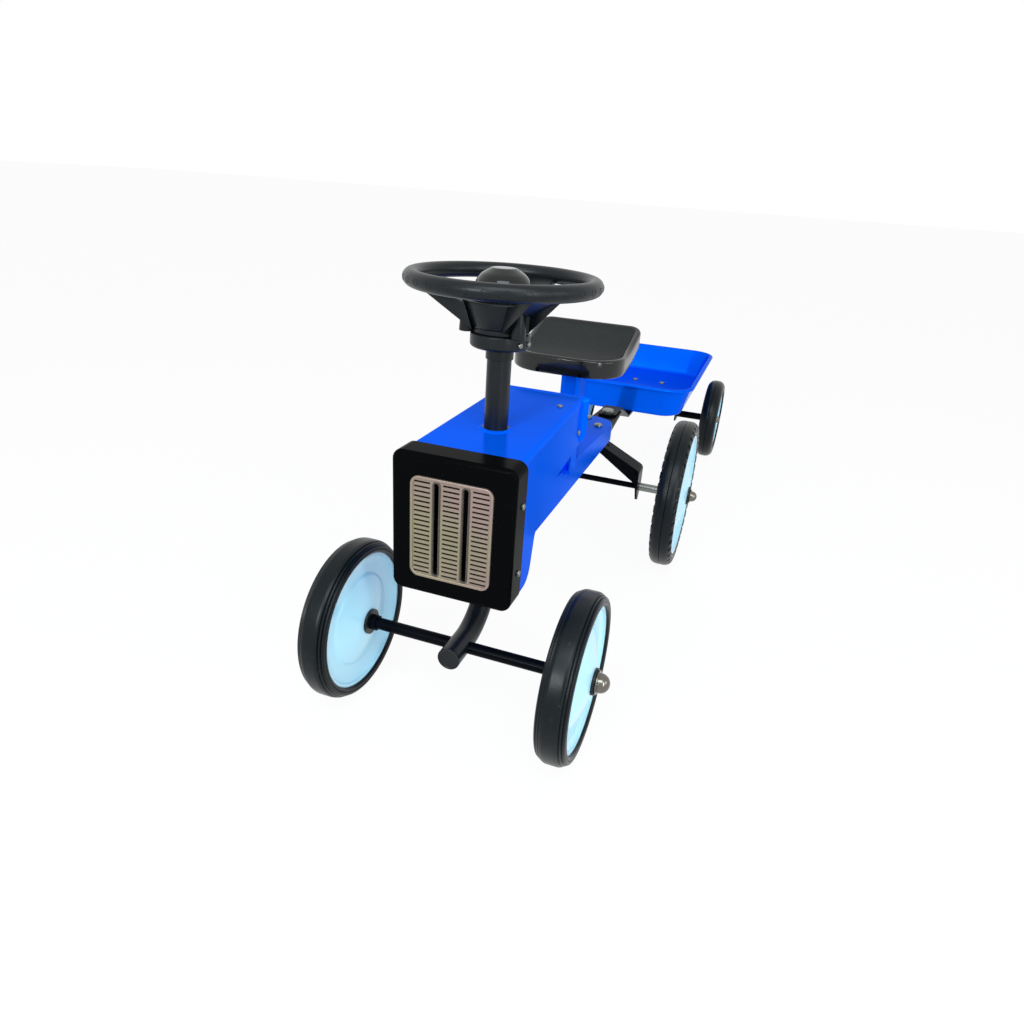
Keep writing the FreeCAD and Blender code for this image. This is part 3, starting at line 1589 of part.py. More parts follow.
tray_bolt = fastener("tray_bolt", "bolt", S.sheet + 2 * S.plate, S.tray_bolt_x, TRAILER_AXLE_Y, TRAY_BOLT_Z)
keep(pair(tray_bolt), "tray_bolts")
keep(make_spacers(), "carrier_spacers")
keep(make_carrier_bolts(), "carrier_bolts")
keep(make_grille_screws(), "grille_screws")
keep(make_hood_rivets(), "hood_rivets")
saddle_z = beam_top(S.saddle_y - S.saddle_width / 2) + S.sheet
saddle_screw = fastener("saddle_screw", "screw", S.screw_length, S.saddle_bolt_x, S.saddle_y, saddle_z)
keep(pair(saddle_screw), "saddle_screws")
screw_z = S.seat_front_z - S.seat_screw_drop
seat_screw = fastener("seat_screw", "screw", S.screw_length, S.seat_screw_x, SEAT_FRONT_Y, screw_z, FORWARDS)
keep(pair(seat_screw), "seat_screws")

document.recompute()
for thing in document.Objects:
    if "Invalid" in thing.State or "Error" in thing.State:
        raise RuntimeError(f"{thing.Name} failed: {thing.State}")
for node in nodes:
    if node.Shape.isNull() or not node.Shape.isValid():
        raise RuntimeError(f"{node.Label} has no valid shape")
os.makedirs("parts", exist_ok=True)
for node in nodes:
    node.Shape.exportStep(f"parts/{node.Label}.step")
    box = node.Shape.BoundBox
    spans = ((box.XMin, box.XMax), (box.YMin, box.YMax), (box.ZMin, box.ZMax))
    reach = " ".join(f"{low:7.1f} {high:7.1f}" for low, high in spans)
    print(f"{node.Label:26s} solids {len(node.Shape.Solids)} volume {node.Shape.Volume:10.0f} reach {reach}")
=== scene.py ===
import json
import math

import bmesh
import bpy
from bpy.props import FloatProperty, FloatVectorProperty, IntProperty, PointerProperty
from mathutils import Matrix, Vector


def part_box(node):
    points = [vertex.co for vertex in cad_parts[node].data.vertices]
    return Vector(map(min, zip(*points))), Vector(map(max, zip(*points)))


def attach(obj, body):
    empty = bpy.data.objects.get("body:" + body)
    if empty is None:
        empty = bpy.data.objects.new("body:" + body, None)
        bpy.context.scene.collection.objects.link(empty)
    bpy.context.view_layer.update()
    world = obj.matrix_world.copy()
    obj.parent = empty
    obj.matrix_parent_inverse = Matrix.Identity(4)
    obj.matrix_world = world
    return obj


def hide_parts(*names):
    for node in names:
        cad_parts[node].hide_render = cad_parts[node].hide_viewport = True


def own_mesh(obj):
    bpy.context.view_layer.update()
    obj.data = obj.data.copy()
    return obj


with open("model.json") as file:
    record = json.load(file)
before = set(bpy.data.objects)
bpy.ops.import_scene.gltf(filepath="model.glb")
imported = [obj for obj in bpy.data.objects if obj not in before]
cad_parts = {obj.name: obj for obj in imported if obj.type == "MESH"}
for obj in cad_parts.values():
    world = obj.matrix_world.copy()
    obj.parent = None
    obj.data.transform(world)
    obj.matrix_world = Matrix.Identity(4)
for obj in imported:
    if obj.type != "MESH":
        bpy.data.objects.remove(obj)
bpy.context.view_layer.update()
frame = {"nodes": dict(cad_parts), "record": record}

bl_info = {
    "name": "Ride-on tractor with trailer",
    "version": (1, 0, 0),
    "blender": (4, 5, 0),
    "location": "View3D > Sidebar > Tractor",
    "description": "Dresses the packed ride-on tractor and its trailer",
    "category": "Object",
}

MM = 0.001
X_AXIS = Vector((1.0, 0.0, 0.0))
Z_AXIS = Vector((0.0, 0.0, 1.0))
WHITE = (1.0, 1.0, 1.0, 1.0)

# What counts as one place, as facing a way, as a folded edge and as a corner
TINY = 1e-6
ROW_REACH = 1e-5
FACING = 0.9
FLAT = 0.999
UNDERSIDE = -0.3
CREASE = 0.4
CORNER_SHARE = 0.4
SMOOTH_ANGLE = math.radians(35.0)
TRAY_SMOOTH_ANGLE = math.radians(40.0)
SEAT_SMOOTH_ANGLE = math.radians(50.0)

# Steps in which curves, corners and edges are rounded
ROUND_STEPS = 96
PROFILE_STEPS = 5
TUBE_STEPS = 48
ELBOW_STEPS = 16
RIM_STEPS = 144
RIM_TUBE_STEPS = 28
SMALL_ROUND_STEPS = 32
CAP_PROFILE_STEPS = 9
HORN_PROFILE_STEPS = 8
BAND_CORNER_STEPS = 8
CORNER_STEPS = 12
THIN_EDGE_STEPS = 2
EDGE_STEPS = 3
SOFT_EDGE_STEPS = 4
FLOOR_EDGE_STEPS = 5
BEND_ROWS = 14

# Wheels
KINDS = ("front", "rear", "trailer")
WHEEL_STEPS = {"front": 96, "rear": 200, "trailer": 96}
RING_SHARE = {"front": 0.35, "trailer": 0.225}
SHOULDER_SHARE = {"front": 0.38, "rear": 0.74, "trailer": 0.70}
BEAD_SHARE = 0.9
CROWN_SHARE = 0.46
CROWN_ROUND_SHARE = 0.2
LINE_SHARES = (0.33, 0.67)
LINE_WIDTH_SHARE = 1.2
LEAN_SHARE = 0.4
LUG_SHARE = 0.62
LUG_FOOT_SHARE = 0.26
NOTCH_SHARE = 0.4
WEB_SHARE = {"front": 0.36, "rear": 0.36, "trailer": 0.5}
STEP_SHARE = 0.66
HUB_ROUND_SHARE = 0.4
DISH_SHARE = 0.7
DISH_ROUND_SHARE = 0.2
BROW_SHARE = 0.8
BROW_ROUND_SHARE = 0.15
RIM_ROUND_SHARE = 0.4
CAP_BODIES = {"front": "steering", "rear": "chassis", "trailer": "trailer"}
CAP_HEIGHT_SHARE = 1.25
CAP_SIDE_SHARE = 0.94
CAP_DOME_SHARE = 0.9
CAP_BRIM_SHARES = (0.3, 0.5)

# Steering wheel, horn and column; a corner of a profile has shares of a height, a width and a rounding
SPOKES = 3
SPOKE_BLOCK = 1.0
LEDGE_SHARE = 0.4
LEDGE_HEIGHT_SHARES = (0.16, 0.20)
SPOKE_HOLLOW_SHARE = 0.5
SPOKE_EDGE_SHARE = 0.3
BOSS_HEIGHT_SHARE = 0.9
BOSS_TOP_SHARE = 0.75
BOSS_SUNK_SHARE = 0.7
HORN_SHARES = ((0.0, 0.9), (0.0, 1.0), (0.42, 1.0, 0.20), (0.80, 0.80, 0.14), (1.0, 0.40, 0.03), (1.0, 0.0))
BELLOWS_FOLDS = 4
BELLOWS_DEPTH_SHARE = 3
PLUG_BORDER_SHARE = 0.12
PLUG_SLOPE_SHARE = 0.06
PLUG_SINK_SHARE = 0.25
PLUG_EDGE_SHARE = 0.2
COLLAR_SHELF_SHARE = 0.4
COLLAR_BORE_SHARE = 0.92
COLLAR_FOOT_SHARE = 0.04
COLLAR_WAIST_SHARE = 0.86
COLLAR_FLARE_SHARE = 0.2
COLLAR_BROW_SHARES = ((0.06, 0.93, 0.05), (0.14, 1.0, 0.04))
COLLAR_TOP_SHARES = ((0.97, 1.0, 0.02), (1.0, 0.97))

# Rings, borders and sheet edges
HOOD_RING_SHARES = ((0.0, 2.4), (0.7, 1.6, 0.5), (1.0, 0.4, 0.3), (0.8, 0.0))
BAND_EDGE_SHARE = 0.42
GROOVE_END_SHARE = 0.49
LIP_ROUND_SHARE = 0.45
SHEET_EDGE_SHARE = 0.3

# Stage; each lamp has a place, an aim, a width and height, its watts and its colour
SEEN_RAYS = ("Is Camera Ray", "Is Glossy Ray", "Is Transmission Ray")
FLOOR_GLOW_SHARE = 0.94
FLOOR_ROUGHNESS = 0.9
LAMPS = {
    "key_light": ((-0.3, -2.1, 0.9), (0.0, -0.2, 0.2), (0.4, 0.35), 14.0, (0.90, 0.97, 1.0)),
    "brow_light": ((0.35, -1.5, 1.7), (0.0, -0.3, 0.3), (1.3, 0.8), 19.0, (0.84, 0.95, 1.0)),
    "strip_light": ((1.4, -1.5, 0.8), (0.1, -0.1, 0.2), (0.16, 1.3), 11.0, (0.92, 0.98, 1.0)),
    "side_light": ((2.0, -0.6, 0.9), (0.0, -0.2, 0.2), (1.0, 0.9), 6.0, (1.0, 1.0, 1.0)),
}
SENSOR = 36.0
CAMERA_SHIFT = (-0.003, -0.0003)


def middle(node):
    """Centre of a CAD node's box."""
    low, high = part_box(node)
    return (low + high) / 2


def length(text, description, millimetres):
    """A length property, given in millimetres."""
    return FloatProperty(
        name=text,
        description=description,
        default=millimetres * MM,
        min=0.0,
        precision=5,
        subtype="DISTANCE",
        unit="LENGTH",
    )


def angle(text, description, radians):
    return FloatProperty(name=text, description=description, default=radians, subtype="ANGLE")


def count(text, description, pieces, least):
    return IntProperty(name=text, description=description, default=pieces, min=least)


def tint(text, description, red, green, blue):
    """A colour property, linear."""
    return FloatVectorProperty(
        name=text,
        description=description,
        default=(red, green, blue),
        min=0.0,
        max=1.0,
        size=3,
        subtype="COLOR",
    )


class TractorColours(bpy.types.PropertyGroup):
    """Colours of the tractor's finishes."""

    enamel: tint("Enamel", "Blue of the hood, beam, post and tray", 0.0004, 0.112, 0.900)
    black: tint("Black", "Black of the painted steel", 0.0016, 0.0022, 0.0040)
    gloss: tint("Grille frame", "Black of the moulded grille frame", 0.0016, 0.0018, 0.0022)
    satin: tint("Steering", "Black of the steering wheel", 0.0040, 0.0060, 0.0075)
    seat: tint("Seat", "Charcoal of the seat's grained top", 0.0200, 0.0225, 0.0230)
    silver: tint("Grille plate", "Champagne silver of the stamped grille", 0.30, 0.25, 0.205)
    smoke: tint("Horn", "Smoked black of the horn button", 0.0030, 0.0035, 0.0035)
    disc: tint("Wheel discs", "Cool white of the wheel discs", 0.45, 0.78, 0.93)
    rubber: tint("Tyres", "Black of the rubber", 0.0020, 0.0045, 0.0060)
    chrome: tint("Caps", "Chrome of the axle caps", 0.17, 0.16, 0.14)
    zinc: tint("Fasteners", "Zinc of screws, bolts and sleeves", 0.22, 0.23, 0.21)


class TractorSizes(bpy.types.PropertyGroup):
    """Sizes of the modelled pieces and their small details."""

    bush_flange: length("Bush flange", "Thickness of the flange on a wheel bush", 2.5)
    bush_radius: length("Bush", "Radius of the bushes in the hubs", 8.0)
    bead_round: length("Bead", "Rounding of the tyre beside the rim", 3.0)
    tyre_line: length("Tyre line", "Depth of the fine moulded lines in the tyres", 0.7)
    lug_count: count("Lugs", "Notches in each shoulder of a rear tyre", 40, 3)
    lug_depth: length("Lug depth", "Depth of the notches in a rear tyre", 2.3)
    wall_lean: length("Wall lean", "How far a rear tyre's wall draws in at the rim", 3.5)
    rim_margin: length("Rim margin", "How far a disc's rim stands in from the tyre's wall", 3.0)
    rim_lip: length("Rim lip", "Height of the rolled lip of a disc", 3.0)
    hub_radius: length("Hub", "Radius of the flat end of a hub", 14.0)
    disc_step: length("Disc step", "Height of the step ring in a disc", 2.0)
    cap_brim: length("Cap brim", "Width of the brim of an axle cap", 1.6)
    rim_tube: length("Rim tube", "Radius of the steering wheel's rim", 7.0)
    ring_count: count("Rings", "Raised rings on the rim", 32, 1)
    ring_radius: length("Ring", "Radius of a raised ring on the rim", 3.1)
    ring_band: length("Ring band", "Width of a raised ring's line", 0.5)
    ring_height: length("Ring height", "Thickness of a raised ring, half of it sunk", 0.4)
    spoke_turn: angle("Spoke turn", "Direction of the first spoke", math.radians(80.0))
    spoke_width: length("Spoke", "Width of a spoke", 26.0)
    bowl_wall: length("Bowl wall", "Wall of the steering wheel's bowl", 2.5)
    bowl_height: length("Bowl height", "Height of the bowl", 27.5)
    bowl_foot: length("Bowl foot", "Radius of the bowl's foot", 24.0)
    bowl_mouth: length("Bowl mouth", "Outer radius of the bowl's mouth", 34.0)
    bowl_throat: length("Bowl throat", "Inner radius of the bowl's mouth", 26.4)
    bowl_bore: length("Bowl bore", "Radius of the column's hole in the bowl", 10.9)
    boss_place: length("Boss place", "Distance of the screw bosses from the column", 29.5)
    boss_foot: length("Boss", "Radius of a screw boss at its foot", 6.5)
    horn_radius: length("Horn", "Radius of the horn button", 26.0)
    horn_wall: length("Horn wall", "Wall of the horn button", 2.0)
    horn_travel: length("Horn travel", "How far the horn button goes down", 4.0)
    bellows_wall: length("Bellows wall", "Wall of the bellows under the horn button", 1.0)
    bellows_crown: length("Bellows crown", "Radius of the bellows' flat top", 8.0)
    column_bend: length("Column bend", "Bend of the steering column", 55.0)
    collar_neck: length("Collar neck", "Radius of the collar's neck", 12.2)
    hood_ring: length("Hood ring", "Inner radius of the ring on the hood", 11.3)
    ring_drop: length("Hood ring height", "How far the ring stands up from the hood", 2.0)
    border_sink: length("Border sink", "How far the grille's borders are let in", 0.4)
    border_round: length("Border corner", "Corner of the grille's border", 8.0)
    border_band: length("Border band", "Width of the grille's border", 2.6)
    border_proud: length("Border height", "How far the grille's borders stand out", 1.3)
    groove_margin: length("Groove margin", "Distance of the grooves from the plate's ends", 4.0)
    groove_width: length("Groove", "Width of a long groove", 4.4)
    groove_band: length("Groove band", "Width of the border of a groove", 1.5)
    groove_place: length("Groove place", "Distance of the grooves from the middle", 13.15)
    seat_skirt: length("Seat skirt", "Height of the seat's wall", 21.0)
    seat_wall: length("Seat wall", "Thickness of the seat's wall", 3.5)
    seat_front_round: length("Seat front", "Rounding of the seat's front corners", 42.0)
    seat_rear_round: length("Seat rear", "Rounding of the seat's rear corners", 16.0)
    seat_bend: length("Seat bend", "Half length of the bend in the seat", 24.0)
    seat_edge: length("Seat edge", "Rounding of the seat's upper and lower edge", 3.2)
    seat_border: length("Seat border", "Width of the glossy border", 2.6)
    seat_sink: length("Seat sink", "How deep the pebbled top is sunk", 0.8)
    sheet: length("Sheet", "Thickness of the pressed sheet", 1.5)
    tray_lip: length("Tray lip", "Width of the tray's lip", 6.0)
    tray_draft: length("Tray draft", "How far the tray narrows to its floor", 12.0)
    tray_round: length("Tray corner", "Outer corner of the tray's lip", 46.0)
    floor_round: length("Floor edge", "Bend between the tray's walls and floor", 6.0)
    lip_turn: length("Lip turn", "How far the tray's lip is turned down", 2.4)


class TractorStage(bpy.types.PropertyGroup):
    """Camera, floor and light."""

    camera_place: FloatVectorProperty(
        name="Camera place",
        description="Where the camera stands",
        default=(0.2210, -1.01075, 0.4757),
        size=3,
        subtype="TRANSLATION",
        unit="LENGTH",
    )
    azimuth: angle("Azimuth", "Turn of the camera round the tractor", 0.322)
    elevation: angle("Elevation", "How far the camera looks down", 0.424)
    roll: angle("Roll", "Tilt of the camera", 0.069)
    lens: FloatProperty(name="Lens", description="Focal length in millimetres", default=25.55, min=1.0)
    floor_size: length("Floor", "Width of the floor", 60000.0)
    floor_colour: tint("Floor colour", "Pale colour of the floor", 0.95, 0.95, 0.95)
    sky: FloatProperty(name="Sky", description="Strength of the even light", default=0.5, min=0.0)


class Shade:
    """A shader socket that takes part in sums."""

    def __init__(self, tree, socket):
        self.tree = tree
        self.socket = socket

    def work(self, operation, first, second):
        return self.tree.node("ShaderNodeMath", {"operation": operation}, [first, second])

    def __add__(self, other):
        return self.work("ADD", self, other)

    def __radd__(self, other):
        return self.work("ADD", other, self)

    def __sub__(self, other):
        return self.work("SUBTRACT", self, other)

    def __rsub__(self, other):
        return self.work("SUBTRACT", other, self)

    def __mul__(self, other):
        return self.work("MULTIPLY", self, other)

    def __rmul__(self, other):
        return self.work("MULTIPLY", other, self)


class Tree:
    """A node tree that is built up from shades."""

    def __init__(self, tree):
        self.tree = tree

    def node(self, kind, settings=None, sockets=(), output=0):
        """Adds a node, sets it up, feeds its sockets and gives one of its outputs."""
        made = self.tree.nodes.new(kind)
        for name, value in (settings or {}).items():
            if name == "stops":
                self.stops(made.color_ramp, value)
            else:
                setattr(made, name, value)
        for key, value in sockets.items() if isinstance(sockets, dict) else enumerate(sockets):
            self.feed(made.inputs[key], value)
        return Shade(self, made.outputs[output])

    def stops(self, ramp, stops):
        """Sets a ramp's stops, each a place and a grey."""
        while len(ramp.elements) < len(stops):
            ramp.elements.new(1.0)
        for element, (place, grey) in zip(ramp.elements, stops):
            element.position = place
            element.color = (grey, grey, grey, 1.0)

    def feed(self, socket, value):
        if isinstance(value, Shade):
            self.tree.links.new(value.socket, socket)
        else:
            socket.default_value = value

    def show_white(self, lit, white, share=1.0):
        """Puts white before the camera, metal and glass, and leaves the rest as it is lit."""
        camera, glossy, through = [self.node("ShaderNodeLightPath", output=name) for name in SEEN_RAYS]
        seen = (camera + glossy + through) * share
        blend = self.node("ShaderNodeMixShader", sockets=[seen, Shade(self, lit.outputs[0]), white])
        output = next(node for node in self.tree.nodes if node.type.startswith("OUTPUT"))
        self.feed(output.inputs["Surface"], blend)


class Finish(Tree):
    """A material and the nodes that give it its detail."""

    def __init__(self, name):
        self.material = bpy.data.materials.new(name)
        self.material.use_nodes = True
        super().__init__(self.material.node_tree)
        self.shader = self.tree.nodes["Principled BSDF"]

    def set(self, **sockets):
        """Feeds the shader's own sockets."""
        for socket, value in sockets.items():
            self.feed(self.shader.inputs[socket.replace("_", " ")], value)

    def where(self):
        return self.node("ShaderNodeTexCoord", output="Object")

    def noise(self, scale, detail, rough, stretch=None):
        """Noise on the piece, in features per metre."""
        place = self.where()
        if stretch is not None:
            place = self.node("ShaderNodeMapping", sockets={"Vector": place, "Scale": stretch})
        sockets = {"Vector": place, "Scale": scale, "Detail": detail, "Roughness": rough}
        return self.node("ShaderNodeTexNoise", sockets=sockets)

    def pebbles(self, scale):
        """Rounded cells, in features per metre."""
        sockets = {"Vector": self.where(), "Scale": scale}
        return self.node("ShaderNodeTexVoronoi", {"feature": "SMOOTH_F1"}, sockets)

    def spots(self, scale, detail, rough, low, high):
        """Spots where a noise rises from a low to a high level."""
        stops = ((low, 0.0), (high, 1.0))
        return self.node("ShaderNodeValToRGB", {"stops": stops}, {"Fac": self.noise(scale, detail, rough)})

    def mix(self, factor, first, second):
        """A blend of two colours."""
        return self.node("ShaderNodeMix", {"data_type": "RGBA"}, {0: factor, 6: first, 7: second}, 2)

    def shades(self, factor, colour, dark, light):
        """A blend of a darker and a lighter shade of one colour."""
        return self.mix(factor, solid(colour, dark), solid(colour, light))

    def bump(self, height, strength, distance):
        sockets = {"Height": height, "Strength": strength, "Distance": distance}
        return self.node("ShaderNodeBump", sockets=sockets)


def solid(colour, gain=1.0):
    """A colour with its alpha, lightened or darkened by a gain."""
    return (colour[0] * gain, colour[1] * gain, colour[2] * gain, 1.0)


def enamel_finish(finish, colours):
    """Glossy baked enamel with a faint orange peel and dust."""
    cloud = finish.noise(9.0, 3.0, 0.55)
    dust = finish.spots(900.0, 2.0, 0.6, 0.70, 0.78)
    blue = finish.shades(cloud, colours.enamel, 0.90, 1.08)
    finish.set(
        Metallic=0.3,
        Specular_IOR_Level=0.005,
        Specular_Tint=(0.25, 0.5, 1.0, 1.0),
        Base_Color=finish.mix(dust * 0.05, blue, solid((0.30, 0.40, 0.75))),
        Roughness=0.14 + cloud * 0.06 + dust * 0.10,
        Normal=finish.bump(finish.noise(420.0, 1.0, 0.4), 0.05, 0.0004),
    )


def black_paint_finish(finish, colours):
    """Semi-gloss black paint on steel, a little worn and dusty."""
    cloud = finish.noise(14.0, 4.0, 0.6)
    scuff = finish.spots(60.0, 6.0, 0.7, 0.62, 0.72)
    finish.set(
        Specular_IOR_Level=0.03,
        Base_Color=finish.shades(scuff * 0.35, colours.black, 1.0, 4.0),
        Roughness=0.20 + cloud * 0.12 + scuff * 0.12,
        Normal=finish.bump(finish.noise(700.0, 2.0, 0.6), 0.06, 0.0003),
    )


def black_gloss_finish(finish, colours):
    """Polished moulded plastic with faint handling marks."""
    cloud = finish.noise(20.0, 4.0, 0.6)
    speck = finish.spots(820.0, 1.0, 0.5, 0.72, 0.80)
    finish.set(
        Specular_IOR_Level=0.012,
        Base_Color=finish.mix(speck * 0.3, solid(colours.gloss), solid((0.05, 0.05, 0.05))),
        Roughness=0.14 + cloud * 0.10 + speck * 0.2,
        Normal=finish.bump(finish.noise(260.0, 1.0, 0.4), 0.03, 0.0004),
    )


def satin_finish(finish, colours):
    """Satin moulded plastic with a fine spark-eroded grain."""
    cloud = finish.noise(25.0, 3.0, 0.6)
    finish.set(
        Specular_IOR_Level=0.24,
        Base_Color=finish.shades(cloud, colours.satin, 0.75, 1.35),
        Roughness=0.29 + cloud * 0.10,
        Normal=finish.bump(finish.noise(1900.0, 2.0, 0.6), 0.08, 0.0002),
    )


def seat_top_finish(finish, colours):
    """Pebble-grained top of the seat, with painted glints: light grey flecks that stand in for the sparkle
    of light off the grain.
    """
    cloud = finish.noise(30.0, 4.0, 0.6)
    fine = finish.noise(2200.0, 2.0, 0.6)
    # Painted glints: light grey flecks for the sparkle of light off the grain.
    glint_fleck = finish.spots(1100.0, 1.0, 0.5, 0.62, 0.74)
    ground = finish.shades(cloud, colours.seat, 0.8, 1.25)
    finish.set(
        Specular_IOR_Level=0.12,
        Base_Color=finish.mix(glint_fleck * 0.45, ground, solid((0.10, 0.10, 0.09))),
        Roughness=0.62 + cloud * 0.12,
        Normal=finish.bump(1 - finish.pebbles(620.0) + fine * 0.25, 0.75, 0.0008),
    )


def seat_wall_finish(finish, colours):
    """Glossy wall and border of the seat."""
    cloud = finish.noise(35.0, 3.0, 0.6)
    finish.set(
        Specular_IOR_Level=0.4,
        Base_Color=finish.shades(cloud, colours.seat, 0.15, 0.40),
        Roughness=0.09 + cloud * 0.10,
        Normal=finish.bump(finish.noise(120.0, 2.0, 0.5), 0.06, 0.0008),
    )


def silver_finish(finish, colours):
    """Stamped champagne-silver sheet with a brushed grain."""
    brushed = finish.noise(60.0, 4.0, 0.7, (1.0, 1.0, 30.0))
    cloud = finish.noise(24.0, 3.0, 0.6)
    spot = finish.spots(300.0, 3.0, 0.6, 0.60, 0.72)
    drift = finish.spots(11.0, 1.0, 0.5, 0.38, 0.62)
    red, green, blue = colours.silver
    gold = solid((red, green * 1.12, blue * 0.85))
    rose = solid((red * 1.1, green * 0.94, blue * 1.05))
    sheen = finish.mix(cloud * 0.5, finish.mix(drift, gold, rose), solid(colours.silver, 0.7))
    finish.set(
        Base_Color=finish.mix(spot * 0.25, sheen, solid(colours.silver, 1.5)),
        Metallic=0.72 + cloud * 0.1,
        Roughness=0.34 + brushed * 0.16,
        Normal=finish.bump(brushed, 0.06, 0.0003),
    )


def groove_shade_finish(finish, colours):
    """Painted shade: a darkened copy of the grille's silver, for the borders where the plate is drawn into
    its grooves.
    """
    cloud = finish.noise(60.0, 3.0, 0.6)
    finish.set(
        Specular_IOR_Level=0.3,
        Base_Color=finish.shades(cloud, colours.silver, 0.16, 0.34),
        Metallic=0.3 + cloud * 0.2,
        Roughness=0.45 + cloud * 0.1,
        Normal=finish.bump(finish.noise(500.0, 2.0, 0.5), 0.05, 0.0003),
    )


def smoke_finish(finish, colours):
    """Smoked, highly polished plastic of the horn button."""
    cloud = finish.noise(70.0, 3.0, 0.6)
    haze = finish.noise(40.0, 2.0, 0.6)
    finish.set(
        Specular_IOR_Level=0.30,
        Coat_Weight=0.12,
        Coat_Roughness=0.02,
        Base_Color=finish.shades(cloud, colours.smoke, 0.6, 2.2),
        Roughness=0.05 + haze * 0.07,
        Normal=finish.bump(finish.noise(90.0, 1.0, 0.5), 0.03, 0.0006),
    )


def disc_finish(finish, colours):
    """Cool white enamel of the pressed wheel discs."""
    cloud = finish.noise(22.0, 4.0, 0.6)
    smear = finish.spots(45.0, 6.0, 0.7, 0.58, 0.75)
    white = finish.shades(cloud, colours.disc, 0.94, 1.03)
    finish.set(
        Specular_IOR_Level=0.45,
        Coat_Weight=0.2,
        Coat_Roughness=0.08,
        Base_Color=finish.mix(smear * 0.05, white, solid((0.55, 0.60, 0.66))),
        Roughness=0.20 + cloud * 0.06 + smear * 0.06,
        Normal=finish.bump(finish.noise(240.0, 1.0, 0.4), 0.03, 0.0003),
    )


def rubber_finish(finish, colours):
    """Moulded rubber with a dusty bloom and small scuffs."""
    bloom = finish.noise(28.0, 5.0, 0.65)
    scuff = finish.spots(160.0, 6.0, 0.75, 0.60, 0.74)
    ground = finish.shades(bloom, colours.rubber, 0.7, 1.5)
    finish.set(
        Specular_IOR_Level=0.18,
        Base_Color=finish.mix(scuff * 0.30, ground, solid((0.07, 0.07, 0.065))),
        Roughness=0.24 + bloom * 0.14 + scuff * 0.15,
        Normal=finish.bump(finish.noise(1500.0, 3.0, 0.6) + bloom * 0.5, 0.16, 0.0004),
    )


def bush_finish(finish, colours):
    """Plain black nylon of the bushes and bellows."""
    cloud = finish.noise(120.0, 3.0, 0.6)
    finish.set(
        Specular_IOR_Level=0.4,
        Base_Color=finish.shades(cloud, colours.satin, 0.4, 0.9),
        Roughness=0.35 + cloud * 0.15,
        Normal=finish.bump(finish.noise(900.0, 2.0, 0.5), 0.08, 0.0003),
    )


def chrome_finish(finish, colours):
    """Bright plated steel of the axle caps."""
    cloud = finish.noise(150.0, 3.0, 0.6)
    finish.set(
        Base_Color=finish.shades(cloud, colours.chrome, 0.8, 1.2),
        Metallic=0.96 + cloud * 0.04,
        Roughness=0.10 + cloud * 0.14,
        Normal=finish.bump(finish.noise(420.0, 2.0, 0.5), 0.05, 0.0003),
    )


def zinc_finish(finish, colours):
    """Zinc-plated steel of the screws, bolts and sleeves."""
    cloud = finish.noise(180.0, 4.0, 0.65)
    finish.set(
        Base_Color=finish.shades(cloud, colours.zinc, 0.7, 1.2),
        Metallic=0.90 + cloud * 0.1,
        Roughness=0.24 + cloud * 0.18,
        Normal=finish.bump(finish.noise(1400.0, 2.0, 0.6), 0.08, 0.0003),
    )


FINISHES = {
    "blue_enamel": enamel_finish,
    "black_enamel": black_paint_finish,
    "black_gloss": black_gloss_finish,
    "black_satin": satin_finish,
    "seat_grain": seat_top_finish,
    "seat_black": seat_wall_finish,
    "grille_silver": silver_finish,
    "groove_grey": groove_shade_finish,
    "horn_smoke": smoke_finish,
    "disc_white": disc_finish,
    "tyre_black": rubber_finish,
    "bush_black": bush_finish,
    "cap_chrome": chrome_finish,
    "zinc_steel": zinc_finish,
}
SAME_FINISH = {"bellows_rubber": "bush_black"}
NODE_FINISH = {"seat_screws": "black_enamel"}


def coated(slot):
    """The material for a slot of the record, made when it is first asked for."""
    name = SAME_FINISH.get(slot, slot)
    label = name + "_finish"
    if label not in bpy.data.materials:
        finish = Finish(label)
        FINISHES[name](finish, bpy.context.scene.tractor_colours)
        finish.material.use_fake_user = True
    return bpy.data.materials[label]


def slot_of(node):
    """The record's material slot of a CAD node."""
    for entry in frame["record"]["subparts"]:
        if entry["node"] == node:
            return entry["material_slot"]
    raise ValueError(f"no slot for {node}")


class TRACTOR_OT_finishes(bpy.types.Operator):
    """Gives every CAD node its finish"""

    bl_idname = "tractor.finishes"
    bl_label = "Paint the packed pieces"

    def execute(self, context):
        for name, node in frame["nodes"].items():
            node.data.materials.clear()
            node.data.materials.append(coated(NODE_FINISH.get(name, slot_of(name))))
        return {"FINISHED"}


def clear():
    """Goes back to object mode with nothing selected."""
    if bpy.context.mode != "OBJECT":
        bpy.ops.object.mode_set(mode="OBJECT")
    bpy.ops.object.select_all(action="DESELECT")


def named(name):
    """Gives the active piece and its mesh a name."""
    piece = bpy.context.object
    piece.name = name
    piece.data.name = name
    return piece


def begin(name, add, place, **settings):
    """Adds a primitive at a place and opens it in edit mode, all selected."""
    clear()
    add(location=place, **settings)
    bpy.ops.object.transform_apply(location=False, rotation=True, scale=True)
    bpy.ops.object.mode_set(mode="EDIT")
    bpy.ops.mesh.select_mode(type="VERT")
    bpy.ops.mesh.select_all(action="SELECT")
    return named(name)


def pick(piece, kind, test):
    """Selects the vertices, edges or faces that pass a test, and nothing else."""
    bpy.ops.mesh.select_mode(type=kind)
    bpy.ops.mesh.select_all(action="DESELECT")
    shape = bmesh.from_edit_mesh(piece.data)
    parts = {"VERT": shape.verts, "EDGE": shape.edges, "FACE": shape.faces}[kind]
    for part in parts:
        if test(part):
            part.select_set(True)
    shape.select_flush_mode()
    bmesh.update_edit_mesh(piece.data)


def pull(*step):
    """Extrudes what is selected."""
    bpy.ops.mesh.extrude_region_move(TRANSFORM_OT_translate={"value": step})


def heart(edge):
    """Middle of an edge."""
    return (edge.verts[0].co + edge.verts[1].co) / 2


def climb(edge):
    """Height from one end of an edge to the other."""
    return abs(edge.verts[0].co.z - edge.verts[1].co.z)


